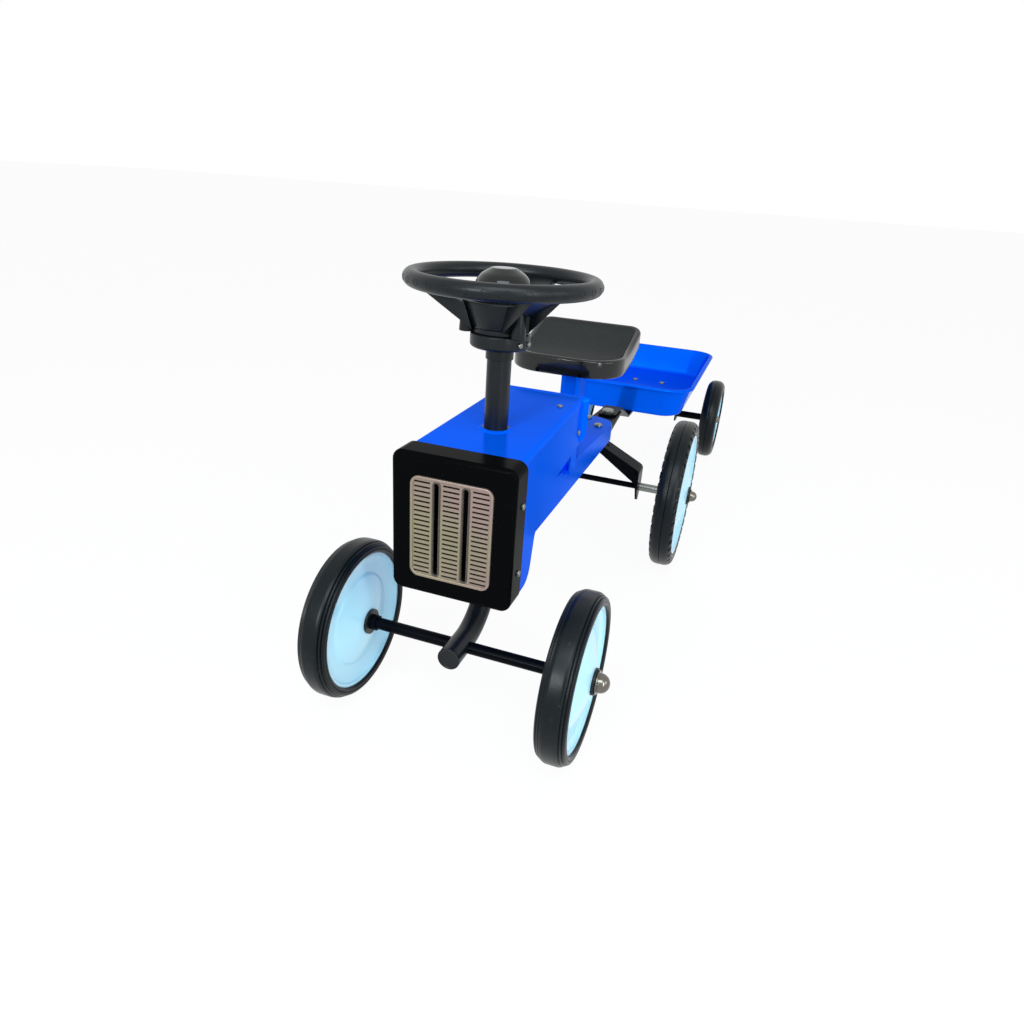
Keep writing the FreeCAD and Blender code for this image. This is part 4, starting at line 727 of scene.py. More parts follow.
def folded(edge):
    """Whether two faces meet at an angle."""
    return edge.is_manifold and edge.calc_face_angle(0.0) > CREASE


def soften(piece, reach, steps, test=folded):
    """Rounds the edges that pass a test, or else those where two faces meet at an angle."""
    pick(piece, "EDGE", test)
    bpy.ops.mesh.bevel(offset=reach, segments=steps)


def shut(piece, limit=SMOOTH_ANGLE):
    """Ends edit mode, puts the place into the mesh and smooths what isn't an edge."""
    bpy.ops.mesh.select_all(action="SELECT")
    bpy.ops.mesh.remove_doubles(threshold=TINY)
    bpy.ops.mesh.normals_make_consistent(inside=False)
    bpy.ops.object.mode_set(mode="OBJECT")
    bpy.ops.object.transform_apply(location=True, rotation=True, scale=True)
    bpy.ops.object.shade_smooth_by_angle(angle=limit)
    return piece


def modify(piece, kind, **settings):
    """Adds a modifier to the active piece and applies it."""
    made = piece.modifiers.new(kind.lower(), kind)
    for name, value in settings.items():
        setattr(made, name, value)
    bpy.ops.object.modifier_apply(modifier=made.name)


def take(*pieces):
    """Selects finished pieces, the first of them active."""
    clear()
    for piece in pieces:
        piece.select_set(True)
    bpy.context.view_layer.objects.active = pieces[0]


def copied(piece, name):
    """A copy with a mesh of its own, selected and active."""
    take(piece)
    bpy.ops.object.duplicate(linked=False)
    return named(name)


def spun(piece, turn, centre):
    """Turns a piece about an upright line through a point."""
    take(piece)
    bpy.ops.transform.rotate(value=-turn, orient_axis="Z", center_override=centre)
    bpy.ops.object.transform_apply(location=True, rotation=True, scale=True)
    return piece


def joined(name, pieces):
    """Joins pieces into one."""
    take(*pieces)
    bpy.ops.object.join()
    return named(name)


def dress(piece, body, slot, *nodes, look=None):
    """Gives a piece its finish, the body it rides on and the nodes it stands for."""
    piece.data.materials.clear()
    piece.data.materials.append(coated(look or slot))
    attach(piece, body)
    if nodes:
        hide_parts(*nodes)


def turned(name, centre, axis, profile, steps=ROUND_STEPS, segments=PROFILE_STEPS):
    """Spins a profile about an axis; a corner is (along, out) or, rounded, (along, out, reach)."""
    out = Z_AXIS if axis is X_AXIS else X_AXIS
    places = [axis * corner[0] + out * corner[1] for corner in profile]
    piece = begin(name, bpy.ops.mesh.primitive_plane_add, centre, size=MM)
    bpy.ops.mesh.merge(type="CENTER")
    bpy.ops.transform.translate(value=places[0])
    for before, after in zip(places, places[1:]):
        pull(*(after - before))
    for place, corner in zip(places, profile):
        if len(corner) > 2:
            pick(piece, "VERT", lambda vert: (vert.co - place).length < TINY)
            bpy.ops.mesh.bevel(offset=corner[2], segments=segments, affect="VERTICES")
    bpy.ops.mesh.select_all(action="SELECT")
    bpy.ops.mesh.spin(steps=steps, angle=2 * math.pi, center=centre, axis=axis)
    return shut(piece)


def scaled(shares, tall, wide, low=0.0, inner=0.0):
    """Corners from shares of a height and a width; their roundings are shares of the height."""
    corners = []
    for up, out, *reach in shares:
        corners.append((low + tall * up, inner + wide * out, *(tall * share for share in reach)))
    return corners


def looped(side):
    """A closed section from one side's corners, listed from the bore out, and their mirror image."""
    far = [(-corner[0], *corner[1:]) for corner in reversed(side)]
    return side + far + [side[0]]


class WheelSpan:
    """Main sizes of one kind of wheel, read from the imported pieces."""

    def __init__(self, kind, sizes):
        self.kind = kind
        self.centre = middle(kind + "_tyre_left")
        low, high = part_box(kind + "_tyre_left")
        self.radius = (high.z - low.z) / 2
        self.half = (high.x - low.x) / 2
        low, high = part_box(kind + "_disc_left")
        self.rim = (high.z - low.z) / 2
        low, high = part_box(kind + "_bushes_left")
        self.hub = (high.x - low.x) / 2 - sizes.bush_flange


def tyre_section(wheel, sizes):
    """Rounded rubber section with fine moulded lines; a rear tyre's plain wall draws in at the rim."""
    half, radius, rim = wheel.half, wheel.radius, wheel.rim
    line = sizes.tyre_line
    deep = radius - rim
    drop = deep * SHOULDER_SHARE[wheel.kind]
    lean = sizes.wall_lean if wheel.kind == "rear" else 0.0
    bead = half - lean
    side = [(bead - sizes.bead_round, rim), (bead, rim, sizes.bead_round * BEAD_SHARE)]
    if wheel.kind in RING_SHARE:
        ring = rim + deep * RING_SHARE[wheel.kind]
        side += [(half, ring - line), (half - line, ring), (half, ring + line)]
    if wheel.kind == "front":
        return looped(side + lined_shoulder(half, radius, drop, line * LINE_WIDTH_SHARE))
    return looped(side + [(half + lean * LEAN_SHARE, radius, drop), (line, radius), (0.0, radius - line)])


def lined_shoulder(half, radius, drop, line):
    """Sloping shoulder of a front tyre, with fine lines round it."""
    low = Vector((half, radius - drop))
    crown = Vector((half * CROWN_SHARE, radius))
    along = (crown - low).normalized()
    inwards = Vector((-along.y, along.x))
    reach = (crown - low).length * CROWN_ROUND_SHARE
    corners = [(*low, reach)]
    for share in LINE_SHARES:
        spot = low.lerp(crown, share)
        corners += [tuple(spot + step) for step in (-along * line, inwards * line, along * line)]
    return corners + [(*crown, reach)]


def disc_section(wheel, sizes):
    """Two-walled pressed disc that bulges to the hub, with a step ring and a rolled rim."""
    rim, hub = wheel.rim, wheel.hub
    half = wheel.half - sizes.rim_margin
    web = hub * WEB_SHARE[wheel.kind]
    step = rim * STEP_SHARE
    rise = sizes.disc_step
    lip = rim - sizes.rim_lip
    return looped([
        (hub, sizes.bush_radius),
        (hub, sizes.hub_radius, sizes.hub_radius * HUB_ROUND_SHARE),
        (web + rise, step, rise),
        (web, step + rise, rise),
        (web, lip - half * DISH_SHARE, half * DISH_ROUND_SHARE),
        (half * BROW_SHARE, lip, half * BROW_ROUND_SHARE),
        (half, lip, rise * RIM_ROUND_SHARE),
        (half, rim),
    ])


def cut_lugs(tyre, wheel, sizes):
    """Sinks a row of notches into both shoulders of the rear tyre, one row ahead of the other."""
    pitch = 2 * math.pi / sizes.lug_count
    inside = wheel.half * LUG_SHARE
    foot = wheel.rim + (wheel.radius - wheel.rim) * LUG_FOOT_SHARE

    def in_notch(face):
        place = face.calc_center_median() - wheel.centre
        shift = pitch * NOTCH_SHARE if place.x < 0 else 0.0
        turn = (math.atan2(place.z, place.y) + shift) % pitch
        on_shoulder = abs(place.x) > inside and math.hypot(place.y, place.z) > foot
        return on_shoulder and turn < pitch * NOTCH_SHARE

    take(tyre)
    bpy.ops.object.mode_set(mode="EDIT")
    pick(tyre, "FACE", in_notch)
    bpy.ops.mesh.inset(thickness=sizes.tyre_line, depth=-sizes.lug_depth, use_even_offset=True)
    shut(tyre)


class TRACTOR_OT_wheels(bpy.types.Operator):
    """Models the tyres and the dished discs"""

    bl_idname = "tractor.wheels"
    bl_label = "Model the wheels"

    def execute(self, context):
        sizes = context.scene.tractor_sizes
        for kind in KINDS:
            wheel = WheelSpan(kind, sizes)
            steps = WHEEL_STEPS[kind]
            tyre = turned(kind + "_tyre", wheel.centre, X_AXIS, tyre_section(wheel, sizes), steps)
            if kind == "rear":
                cut_lugs(tyre, wheel, sizes)
            disc = turned(kind + "_disc", wheel.centre, X_AXIS, disc_section(wheel, sizes))
            self.share(wheel, tyre, "tyre", "tyre_black")
            self.share(wheel, disc, "disc", "disc_white")
        return {"FINISHED"}

    def share(self, wheel, piece, part, slot):
        """One for each side of the tractor."""
        middle_line = Vector((0.0, wheel.centre.y, 0.0))
        right = spun(copied(piece, f"{wheel.kind}_{part}_on_right"), math.pi, middle_line)
        piece.name = f"{wheel.kind}_{part}_on_left"
        for side, made in (("left", piece), ("right", right)):
            dress(made, f"{wheel.kind}_wheel_{side}", slot, f"{wheel.kind}_{part}_{side}")


class TRACTOR_OT_caps(bpy.types.Operator):
    """Models the domed caps on the axles' ends"""

    bl_idname = "tractor.caps"
    bl_label = "Model the axle caps"

    def execute(self, context):
        brim = context.scene.tractor_sizes.cap_brim
        under, over = (brim * share for share in CAP_BRIM_SHARES)
        for kind, body in CAP_BODIES.items():
            node = kind + "_axle_caps"
            low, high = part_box(node)
            radius = (high.z - low.z) / 2 - brim
            face = high.x - radius * CAP_HEIGHT_SHARE
            centre = Vector((0.0, middle(node).y, middle(node).z))
            cap = turned(node + "_left", centre, X_AXIS, [
                (face, 0.0),
                (face, radius + brim, under),
                (face + brim, radius + brim, over),
                (face + brim, radius * CAP_SIDE_SHARE),
                (high.x, radius * CAP_SIDE_SHARE, radius * CAP_DOME_SHARE),
                (high.x, 0.0),
            ], TUBE_STEPS, CAP_PROFILE_STEPS)
            far = spun(copied(cap, node + "_right"), math.pi, centre)
            dress(joined(kind + "_caps", [cap, far]), body, "cap_chrome", node)
        return {"FINISHED"}


class TRACTOR_OT_steering_wheel(bpy.types.Operator):
    """Models the steering wheel: rim with raised rings, bowl, spokes and screw bosses"""

    bl_idname = "tractor.steering_wheel"
    bl_label = "Model the steering wheel"

    def execute(self, context):
        sizes = context.scene.tractor_sizes
        low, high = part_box("steering_wheel")
        tube = sizes.rim_tube
        centre = Vector((0.0, middle("hub_collar").y, high.z - tube))
        radius = (high.x - low.x) / 2 - tube
        rim = shut(begin(
            "rim", bpy.ops.mesh.primitive_torus_add, centre, major_radius=radius, minor_radius=tube,
            major_segments=RIM_STEPS, minor_segments=RIM_TUBE_STEPS,
        ))
        pieces = [rim] + self.rings(sizes, rim, centre, radius + tube)
        base = Vector((0.0, centre.y, low.z))
        pieces.append(self.bowl(sizes, base))
        spoke = self.spoke(sizes, base, radius, high.z - tube - low.z)
        for number in range(SPOKES):
            turn = sizes.spoke_turn + number * 2 * math.pi / SPOKES
            pieces.append(spun(copied(spoke, "spoke"), turn, base))
        take(spoke)
        bpy.ops.object.delete()
        dress(joined("steering_rim", pieces), "steering", "black_satin", "steering_wheel")
        return {"FINISHED"}

    def rings(self, sizes, rim, centre, reach):
        """Fine raised rings pressed on to the outside of the rim."""
        ring = begin(
            "ring", bpy.ops.mesh.primitive_circle_add, centre + X_AXIS * reach, vertices=SMALL_ROUND_STEPS,
            radius=sizes.ring_radius, fill_type="NGON", rotation=(0.0, math.pi / 2, 0.0),
        )
        bpy.ops.mesh.inset(thickness=sizes.ring_band)
        bpy.ops.mesh.delete(type="FACE")
        shut(ring)
        modify(ring, "SHRINKWRAP", target=rim, wrap_method="NEAREST_SURFACEPOINT")
        modify(ring, "SOLIDIFY", thickness=sizes.ring_height, offset=0.0)
        made = [ring]
        for number in range(1, sizes.ring_count):
            turn = number * 2 * math.pi / sizes.ring_count
            made.append(spun(copied(ring, "ring"), turn, centre))
        return made

    def bowl(self, sizes, base):
        """Hollow bowl with a rolled mouth and a stepped foot."""
        wall, height = sizes.bowl_wall, sizes.bowl_height
        foot, mouth, throat, bore = sizes.bowl_foot, sizes.bowl_mouth, sizes.bowl_throat, sizes.bowl_bore
        ledge = wall * LEDGE_SHARE
        under, over = (height * share for share in LEDGE_HEIGHT_SHARES)
        return turned("bowl", base, Z_AXIS, [
            (wall, bore),
            (0.0, bore),
            (0.0, foot, wall / 2),
            (under, foot),
            (over, foot + ledge, ledge / 2),
            (height, mouth, ledge * 2),
            (height, throat, ledge),
            (height - wall, throat),
            (height - wall, mouth - wall),
            (wall, foot - wall),
            (wall, bore),
        ])

    def spoke(self, sizes, base, reach, rise):
        """A sloping spoke, drawn in from a large block: a channel open below, with a screw boss."""
        wall = sizes.bowl_wall
        half = sizes.spoke_width / 2
        corners = {
            (-1, -1): (sizes.bowl_foot, wall),
            (-1, 1): (sizes.bowl_mouth - wall, sizes.bowl_height - wall),
            (1, -1): (reach, rise - wall),
            (1, 1): (reach, rise + wall * LEDGE_SHARE),
        }
        piece = begin("spoke_form", bpy.ops.mesh.primitive_cube_add, base, size=2 * SPOKE_BLOCK)
        for (end, level), (out, up) in corners.items():
            pick(piece, "VERT", lambda vert: min(vert.co.x * end, vert.co.z * level) > SPOKE_BLOCK / 2)
            bpy.ops.transform.translate(value=(out - SPOKE_BLOCK * end, 0.0, up - SPOKE_BLOCK * level))
        bpy.ops.mesh.select_all(action="SELECT")
        bpy.ops.transform.resize(value=(1.0, half / SPOKE_BLOCK, 1.0))
        pick(piece, "FACE", lambda face: face.normal.z < UNDERSIDE)
        bpy.ops.mesh.inset(thickness=wall)
        pick(piece, "VERT", lambda vert: abs(vert.co.y) < half - wall / 2 and vert.co.x < reach / 2)
        bpy.ops.transform.translate(value=(wall, 0.0, sizes.bowl_height * SPOKE_HOLLOW_SHARE))
        soften(piece, wall * SPOKE_EDGE_SHARE, THIN_EDGE_STEPS)
        return joined("spoke_form", [shut(piece), self.boss(sizes, base)])

    def boss(self, sizes, base):
        """A tapered boss beside the bowl, cut off inside the bowl's wall."""
        wall, foot = sizes.bowl_wall, sizes.boss_foot
        tall = sizes.bowl_height * BOSS_HEIGHT_SHARE
        place = base + X_AXIS * sizes.boss_place + Z_AXIS * (tall / 2)
        boss = begin(
            "boss", bpy.ops.mesh.primitive_cone_add, place, vertices=SMALL_ROUND_STEPS, radius1=foot,
            radius2=foot * BOSS_TOP_SHARE, depth=tall,
        )
        soften(boss, wall * SPOKE_EDGE_SHARE, EDGE_STEPS)
        bpy.ops.mesh.select_all(action="SELECT")
        inside = base + X_AXIS * (sizes.bowl_foot - wall * BOSS_SUNK_SHARE)
        lean = Vector((sizes.bowl_height, 0.0, sizes.bowl_foot - sizes.bowl_mouth)).normalized()
        bpy.ops.mesh.bisect(plane_co=inside, plane_no=lean, use_fill=True, clear_inner=True, threshold=TINY)
        return shut(boss)


class TRACTOR_OT_horn(bpy.types.Operator):
    """Models the smoked horn button with its flattened crown and the bellows under it"""

    bl_idname = "tractor.horn"
    bl_label = "Model the horn button"

    def execute(self, context):
        low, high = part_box("horn_button")
        sizes = context.scene.tractor_sizes
        profile = scaled(HORN_SHARES, high.z - low.z, sizes.horn_radius)
        centre = Vector((0.0, middle("horn_button").y, low.z))
        horn = turned("horn_dome", centre, Z_AXIS, profile, segments=HORN_PROFILE_STEPS)
        modify(horn, "SOLIDIFY", thickness=sizes.horn_wall, offset=-1.0)
        dress(horn, "horn", "horn_smoke", "horn_button")
        self.add_bellows(sizes)
        return {"FINISHED"}

    def add_bellows(self, sizes):
        """Ribbed rubber under the button, in its rest shape."""
        low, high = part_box("horn_bellows")
        wall = sizes.bellows_wall
        tall = high.z - low.z
        fold = tall / BELLOWS_FOLDS
        rib = high.x
        waist = rib - BELLOWS_DEPTH_SHARE * wall
        centre = Vector((0.0, middle("horn_bellows").y, low.z))
        bellows = turned("bellows", centre, Z_AXIS, [
            (0.0, rib),
            (fold, waist, wall),
            (fold * 2, rib, wall),
            (fold * 3, waist, wall),
            (tall, sizes.bellows_crown, wall),
            (tall, 0.0),
        ])
        modify(bellows, "SOLIDIFY", thickness=wall, offset=-1.0)
        dress(bellows, "steering", "bellows_rubber", "horn_bellows")
        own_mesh(bellows)


class TRACTOR_OT_column(bpy.types.Operator):
    """Models the bent steering column, its clamp collar and the plug in its end"""

    bl_idname = "tractor.column"
    bl_label = "Model the steering column"

    def execute(self, context):
        sizes = context.scene.tractor_sizes
        low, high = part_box("steering_column")
        radius = high.x
        upright = high.y - radius
        axle = middle("front_axle").z
        bend = sizes.column_bend
        top = Vector((0.0, upright, high.z))
        column = begin(
            "column_tube", bpy.ops.mesh.primitive_circle_add, top, vertices=TUBE_STEPS, radius=radius,
            fill_type="NGON",
        )
        pull(0.0, 0.0, axle + bend - high.z)
        elbow = Vector((0.0, upright - bend, axle + bend))
        bpy.ops.mesh.spin(steps=ELBOW_STEPS, angle=math.pi / 2, center=elbow, axis=X_AXIS)
        pick(column, "FACE", lambda face: abs(face.normal.y) > FACING and len(face.verts) > 4)
        pull(0.0, low.y - (upright - bend), 0.0)
        dress(shut(column), "steering", "black_enamel", "steering_column", look="black_satin")
        self.add_plug(radius, low.y, axle)
        self.add_collar(sizes, upright)
        return {"FINISHED"}

    def add_plug(self, radius, front, axle):
        """Round plug with a sunk face in the column's front end."""
        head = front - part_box("column_end_cap")[0].y
        plug = begin(
            "column_plug", bpy.ops.mesh.primitive_cylinder_add, Vector((0.0, front - head / 2, axle)),
            vertices=TUBE_STEPS, radius=radius, depth=head, rotation=(math.pi / 2, 0.0, 0.0),
        )
        pick(plug, "FACE", lambda face: face.normal.y < -FACING)
        bpy.ops.mesh.inset(thickness=radius * PLUG_BORDER_SHARE)
        bpy.ops.mesh.inset(thickness=radius * PLUG_SLOPE_SHARE, depth=-head * PLUG_SINK_SHARE)
        soften(plug, head * PLUG_EDGE_SHARE, EDGE_STEPS)
        dress(shut(plug), "steering", "black_satin", "column_end_cap")

    def add_collar(self, sizes, upright):
        """Clamp collar that widens from a neck to the bowl's foot."""
        low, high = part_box("hub_collar")
        radius = (high.x - low.x) / 2
        tall = high.z - low.z
        neck = sizes.collar_neck
        bore = neck * COLLAR_BORE_SHARE
        shelf = tall * COLLAR_SHELF_SHARE
        flare = shelf * COLLAR_FLARE_SHARE
        collar = turned("clamp_collar", Vector((0.0, upright, low.z)), Z_AXIS, [
            (0.0, bore),
            (0.0, neck, neck * COLLAR_FOOT_SHARE),
            (shelf * COLLAR_WAIST_SHARE, neck),
            (shelf, neck + flare, flare / 2),
            *scaled(COLLAR_BROW_SHARES, tall, radius, low=shelf),
            *scaled(COLLAR_TOP_SHARES, tall, radius),
            (tall, bore),
            (0.0, bore),
        ])
        dress(collar, "steering", "black_satin", "hub_collar")


class TRACTOR_OT_hood_ring(bpy.types.Operator):
    """Adds the raised ring where the column passes through the hood"""

    bl_idname = "tractor.hood_ring"
    bl_label = "Add the hood's ring"

    def execute(self, context):
        sizes = context.scene.tractor_sizes
        proud, inner = sizes.ring_drop, sizes.hood_ring
        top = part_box("column_bush")[1].z
        centre = Vector((0.0, middle("column_bush").y, top - proud))
        slope = scaled(HOOD_RING_SHARES, proud, proud, inner=inner)
        ring = turned("hood_ring", centre, Z_AXIS, [(0.0, inner), *slope, (0.0, inner)])
        dress(ring, "chassis", "blue_enamel")
        return {"FINISHED"}


def flat_ring(name, centre, width, height, reach, band, proud):
    """A rounded band that stands upright and faces the front."""
    upright = (math.pi / 2, 0.0, 0.0)
    piece = begin(name, bpy.ops.mesh.primitive_plane_add, centre, size=1.0, rotation=upright)
    bpy.ops.transform.resize(value=(width, 1.0, height))
    bpy.ops.mesh.bevel(offset=reach, segments=BAND_CORNER_STEPS, affect="VERTICES")
    pick(piece, "FACE", lambda face: True)
    bpy.ops.mesh.inset(thickness=band)
    bpy.ops.mesh.delete(type="FACE")
    bpy.ops.mesh.select_all(action="SELECT")
    pull(0.0, -proud, 0.0)
    edge_reach = min(band, proud) * BAND_EDGE_SHARE
    soften(piece, edge_reach, EDGE_STEPS, lambda edge: heart(edge).y < -proud / 2 and folded(edge))
    return shut(piece)


class TRACTOR_OT_grille(bpy.types.Operator):
    """Adds the pressed borders of the grille plate and of its two long grooves"""

    bl_idname = "tractor.grille"
    bl_label = "Add the grille's borders"

    def execute(self, context):
        sizes = context.scene.tractor_sizes
        low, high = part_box("grille_insert")
        proud, band = sizes.border_proud, sizes.groove_band
        face = Vector((0.0, low.y + sizes.border_sink, middle("grille_insert").z))
        wide, tall = high.x - low.x, high.z - low.z
        border = flat_ring("grille_border", face, wide, tall, sizes.border_round, sizes.border_band, proud)
        dress(border, "chassis", "grille_silver")
        tall += 2 * (band - sizes.groove_margin)
        wide = sizes.groove_width + 2 * band
        for name, side in (("groove_border_left", 1.0), ("groove_border_right", -1.0)):
            place = face + X_AXIS * side * sizes.groove_place
            ring = flat_ring(name, place, wide, tall, wide * GROOVE_END_SHARE, band, proud)
            # The groove borders take a darkened copy of the silver: painted shade on the drawn-in slopes.
            dress(ring, "chassis", "grille_silver", look="groove_grey")
        return {"FINISHED"}


class TRACTOR_OT_seat(bpy.types.Operator):
    """Models the seat: glossy wall and border round a sunk, pebbled top"""

    bl_idname = "tractor.seat"
    bl_label = "Model the seat"

    def execute(self, context):
        sizes = context.scene.tractor_sizes
        low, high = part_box("seat")
        wide, deep, tall = high - low
        skirt = sizes.seat_skirt
        place = Vector((0.0, (low.y + high.y) / 2, low.z + skirt / 2))
        shape = (wide, deep, skirt)
        piece = begin("seat_pan", bpy.ops.mesh.primitive_cube_add, place, size=1.0, scale=shape)
        aside, ahead = wide * CORNER_SHARE, deep * CORNER_SHARE
        for end, reach in ((-1.0, sizes.seat_front_round), (1.0, sizes.seat_rear_round)):
            soften(piece, reach, CORNER_STEPS, lambda edge: climb(edge) > skirt / 2
                   and heart(edge).y * end > ahead and abs(heart(edge).x) > aside)
        for slot in ("seat_black", "seat_grain"):
            piece.data.materials.append(coated(slot))
        level = skirt / 2 - TINY
        soften(piece, sizes.seat_edge, SOFT_EDGE_STEPS, lambda edge: abs(heart(edge).z) > level)
        self.sink_top(piece, sizes)
        self.hollow(piece, sizes)
        self.bend(piece, sizes, place, deep, tall - skirt)
        shut(piece, SEAT_SMOOTH_ANGLE)
        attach(piece, "chassis")
        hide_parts("seat")
        return {"FINISHED"}

    def sink_top(self, piece, sizes):
        """Leaves a border and gives the sunk top its grain."""
        pick(piece, "FACE", lambda face: face.normal.z > FLAT)
        bpy.ops.mesh.inset(thickness=sizes.seat_border)
        bpy.ops.mesh.inset(thickness=sizes.seat_sink, depth=-sizes.seat_sink)
        piece.active_material_index = 1
        bpy.ops.object.material_slot_assign()

    def hollow(self, piece, sizes):
        """Hollows the pan from below."""
        pick(piece, "FACE", lambda face: face.normal.z < -FLAT)
        bpy.ops.mesh.inset(thickness=sizes.seat_wall)
        pull(0.0, 0.0, sizes.seat_skirt - 2 * sizes.seat_wall)

    def bend(self, piece, sizes, place, deep, rise):
        """Cuts rows across the pan and lifts them, row by row, towards the rear."""
        run = sizes.seat_bend
        slope = rise / (deep / 2)
        for number in range(BEND_ROWS):
            y = -run + (deep / 2 + run) * number / BEND_ROWS
            bpy.ops.mesh.select_all(action="SELECT")
            bpy.ops.mesh.bisect(plane_co=place + Vector((0.0, y, 0.0)), plane_no=(0.0, 1.0, 0.0))
        done = -run
        for row in sorted(vert.co.y for vert in bmesh.from_edit_mesh(piece.data).verts):
            if row <= done:
                continue
            done = row + ROW_REACH
            lift = slope * (row + run) ** 2 / (4 * run) if row < run else slope * row
            pick(piece, "VERT", lambda vert: row - TINY < vert.co.y <= done)
            bpy.ops.transform.translate(value=(0.0, 0.0, lift))


class TRACTOR_OT_tray(bpy.types.Operator):
    """Models the trailer's pressed tray with its rolled lip"""

    bl_idname = "tractor.tray"
    bl_label = "Model the tray"

    def execute(self, context):
        sizes = context.scene.tractor_sizes
        low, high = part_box("trailer_tray")
        sheet, lip = sizes.sheet, sizes.tray_lip
        wide = high.x - low.x - 2 * lip
        deep = high.y - low.y - 2 * lip
        tall = high.z - low.z - sheet

        def widen(margin):
            bpy.ops.transform.resize(value=(1 + 2 * margin / wide, 1 + 2 * margin / deep, 1.0))

        place = Vector((0.0, (low.y + high.y) / 2, high.z - sheet))
        piece = begin("tray_press", bpy.ops.mesh.primitive_plane_add, place, size=1.0)
        bpy.ops.transform.resize(value=(wide, deep, 1.0))
        bpy.ops.mesh.bevel(offset=sizes.tray_round - lip, segments=CORNER_STEPS, affect="VERTICES")
        pick(piece, "FACE", lambda face: True)
        pull(0.0, 0.0, -tall)
        widen(-sizes.tray_draft)
        pick(piece, "FACE", lambda face: face.calc_center_median().z > -TINY)
        bpy.ops.mesh.delete(type="ONLY_FACE")
        soften(piece, sizes.floor_round, FLOOR_EDGE_STEPS, lambda edge: heart(edge).z < TINY - tall)
        for margin, drop in ((lip - 2 * sheet, 0.0), (sheet, sizes.lip_turn)):
            pick(piece, "EDGE", lambda edge: edge.is_boundary)
            pull(0.0, 0.0, -drop)
            widen(margin)
        soften(piece, sizes.lip_turn * LIP_ROUND_SHARE, SOFT_EDGE_STEPS,
               lambda edge: max(abs(heart(edge).z), climb(edge)) < TINY and folded(edge))
        shut(piece)
        modify(piece, "SOLIDIFY", thickness=sheet, offset=self.inwards(piece))
        edge = sheet * SHEET_EDGE_SHARE
        modify(piece, "BEVEL", width=edge, segments=THIN_EDGE_STEPS, limit_method="ANGLE")
        bpy.ops.object.shade_smooth_by_angle(angle=TRAY_SMOOTH_ANGLE)
        dress(piece, "trailer", "blue_enamel", "trailer_tray")
        return {"FINISHED"}

    def inwards(self, piece):
        """Side on which the sheet gets its thickness, so that it grows up and in from the outside."""
        floor = min(piece.data.polygons, key=lambda face: face.center.z)
        return -1.0 if floor.normal.z < 0 else 1.0


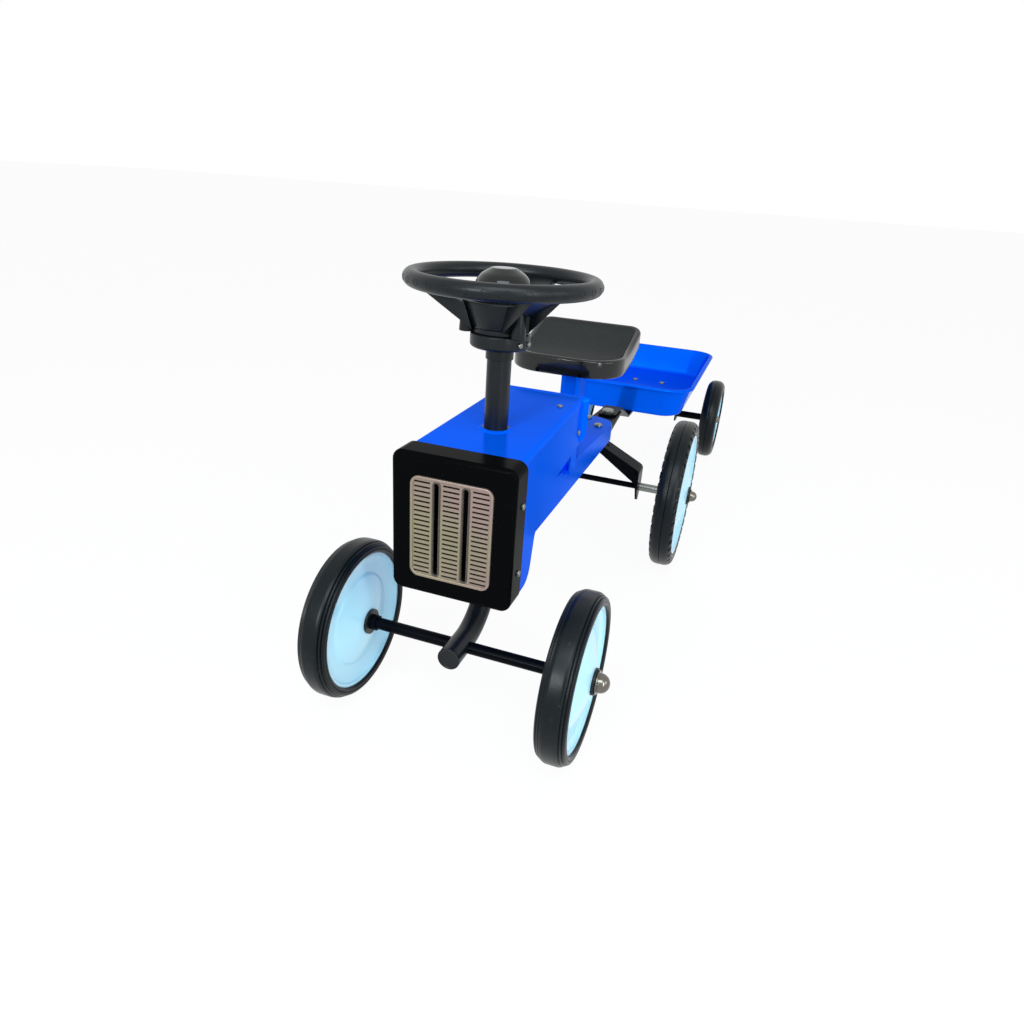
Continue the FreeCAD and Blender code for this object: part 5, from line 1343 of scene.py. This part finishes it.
class TRACTOR_OT_stage(bpy.types.Operator):
    """Adds the floor, the soft light and the camera"""

    bl_idname = "tractor.stage"
    bl_label = "Set the stage"

    def execute(self, context):
        stage = context.scene.tractor_stage
        self.add_floor(stage)
        self.add_sky(context.scene, stage)
        for name, settings in LAMPS.items():
            self.add_lamp(name, *settings)
        self.add_camera(context.scene, stage)
        context.scene.view_settings.view_transform = "Standard"
        return {"FINISHED"}

    def add_floor(self, stage):
        """A pale floor that shows white and keeps the object's shadow."""
        clear()
        bpy.ops.mesh.primitive_plane_add(size=stage.floor_size, location=(0.0, 0.0, 0.0))
        floor = bpy.context.object
        floor.name = "studio_floor"
        paint = Finish("studio_floor")
        paint.set(Roughness=FLOOR_ROUGHNESS, Specular_IOR_Level=0.0, Base_Color=solid(stage.floor_colour))
        glow = paint.node("ShaderNodeEmission", sockets={"Color": WHITE, "Strength": 1.0})
        paint.show_white(paint.shader, glow, FLOOR_GLOW_SHARE)
        floor.data.materials.append(paint.material)

    def add_sky(self, scene, stage):
        """Even light all round, which shows white."""
        scene.world = bpy.data.worlds.new("studio")
        scene.world.use_nodes = True
        sky = Tree(scene.world.node_tree)
        even = sky.tree.nodes["Background"]
        even.inputs["Color"].default_value = WHITE
        even.inputs["Strength"].default_value = stage.sky
        white = sky.node("ShaderNodeBackground", sockets={"Color": WHITE, "Strength": 1.0})
        sky.show_white(even, white)

    def add_lamp(self, name, place, aim, size, watts, colour):
        """A soft box at a place, turned to a point."""
        bpy.ops.object.light_add(type="AREA", location=place)
        made = bpy.context.object
        made.name = name
        made.data.shape = "RECTANGLE"
        made.data.size, made.data.size_y = size
        made.data.energy = watts
        made.data.color = colour
        made.rotation_euler = (Vector(aim) - Vector(place)).to_track_quat("-Z", "Y").to_euler()

    def add_camera(self, scene, stage):
        """The photograph's camera, turned by azimuth, elevation and roll."""
        azimuth, elevation, roll = stage.azimuth, stage.elevation, stage.roll
        across = math.cos(elevation)
        back = Vector((math.sin(azimuth) * across, -math.cos(azimuth) * across, math.sin(elevation)))
        level = Z_AXIS.cross(back).normalized()
        upright = back.cross(level).normalized()
        right = level * math.cos(roll) + upright * math.sin(roll)
        up = upright * math.cos(roll) - level * math.sin(roll)
        bpy.ops.object.camera_add()
        camera = bpy.context.object
        camera.name = "photo_camera"
        turn = Matrix((right, up, back)).transposed().to_4x4()
        camera.matrix_world = Matrix.Translation(Vector(stage.camera_place)) @ turn
        camera.data.lens = stage.lens
        camera.data.sensor_width = SENSOR
        camera.data.shift_x, camera.data.shift_y = CAMERA_SHIFT
        scene.camera = camera


class TRACTOR_PT_panel(bpy.types.Panel):
    """Lists what the tractor's dressing can do"""

    bl_idname = "TRACTOR_PT_panel"
    bl_label = "Tractor"
    bl_space_type = "VIEW_3D"
    bl_region_type = "UI"
    bl_category = "Tractor"

    def draw(self, context):
        for operator in OPERATORS:
            self.layout.operator(operator.bl_idname)
        for group in (getattr(context.scene, name) for name in GROUPS):
            for name in group.bl_rna.properties.keys():
                if name not in ("rna_type", "name"):
                    self.layout.prop(group, name)


GROUPS = {"tractor_colours": TractorColours, "tractor_sizes": TractorSizes, "tractor_stage": TractorStage}
OPERATORS = (
    TRACTOR_OT_finishes,
    TRACTOR_OT_wheels,
    TRACTOR_OT_caps,
    TRACTOR_OT_steering_wheel,
    TRACTOR_OT_horn,
    TRACTOR_OT_column,
    TRACTOR_OT_hood_ring,
    TRACTOR_OT_grille,
    TRACTOR_OT_seat,
    TRACTOR_OT_tray,
    TRACTOR_OT_stage,
)
CLASSES = (*GROUPS.values(), *OPERATORS, TRACTOR_PT_panel)


def register():
    for item in CLASSES:
        bpy.utils.register_class(item)
    for name, group in GROUPS.items():
        setattr(bpy.types.Scene, name, PointerProperty(type=group))


def unregister():
    for name in GROUPS:
        delattr(bpy.types.Scene, name)
    for item in reversed(CLASSES):
        bpy.utils.unregister_class(item)


def main():
    register()
    bpy.ops.tractor.finishes()
    bpy.ops.tractor.wheels()
    bpy.ops.tractor.caps()
    bpy.ops.tractor.steering_wheel()
    bpy.ops.tractor.horn()
    bpy.ops.tractor.column()
    bpy.ops.tractor.hood_ring()
    bpy.ops.tractor.grille()
    bpy.ops.tractor.seat()
    bpy.ops.tractor.tray()
    bpy.ops.tractor.stage()


if __name__ == "__main__":
    main()
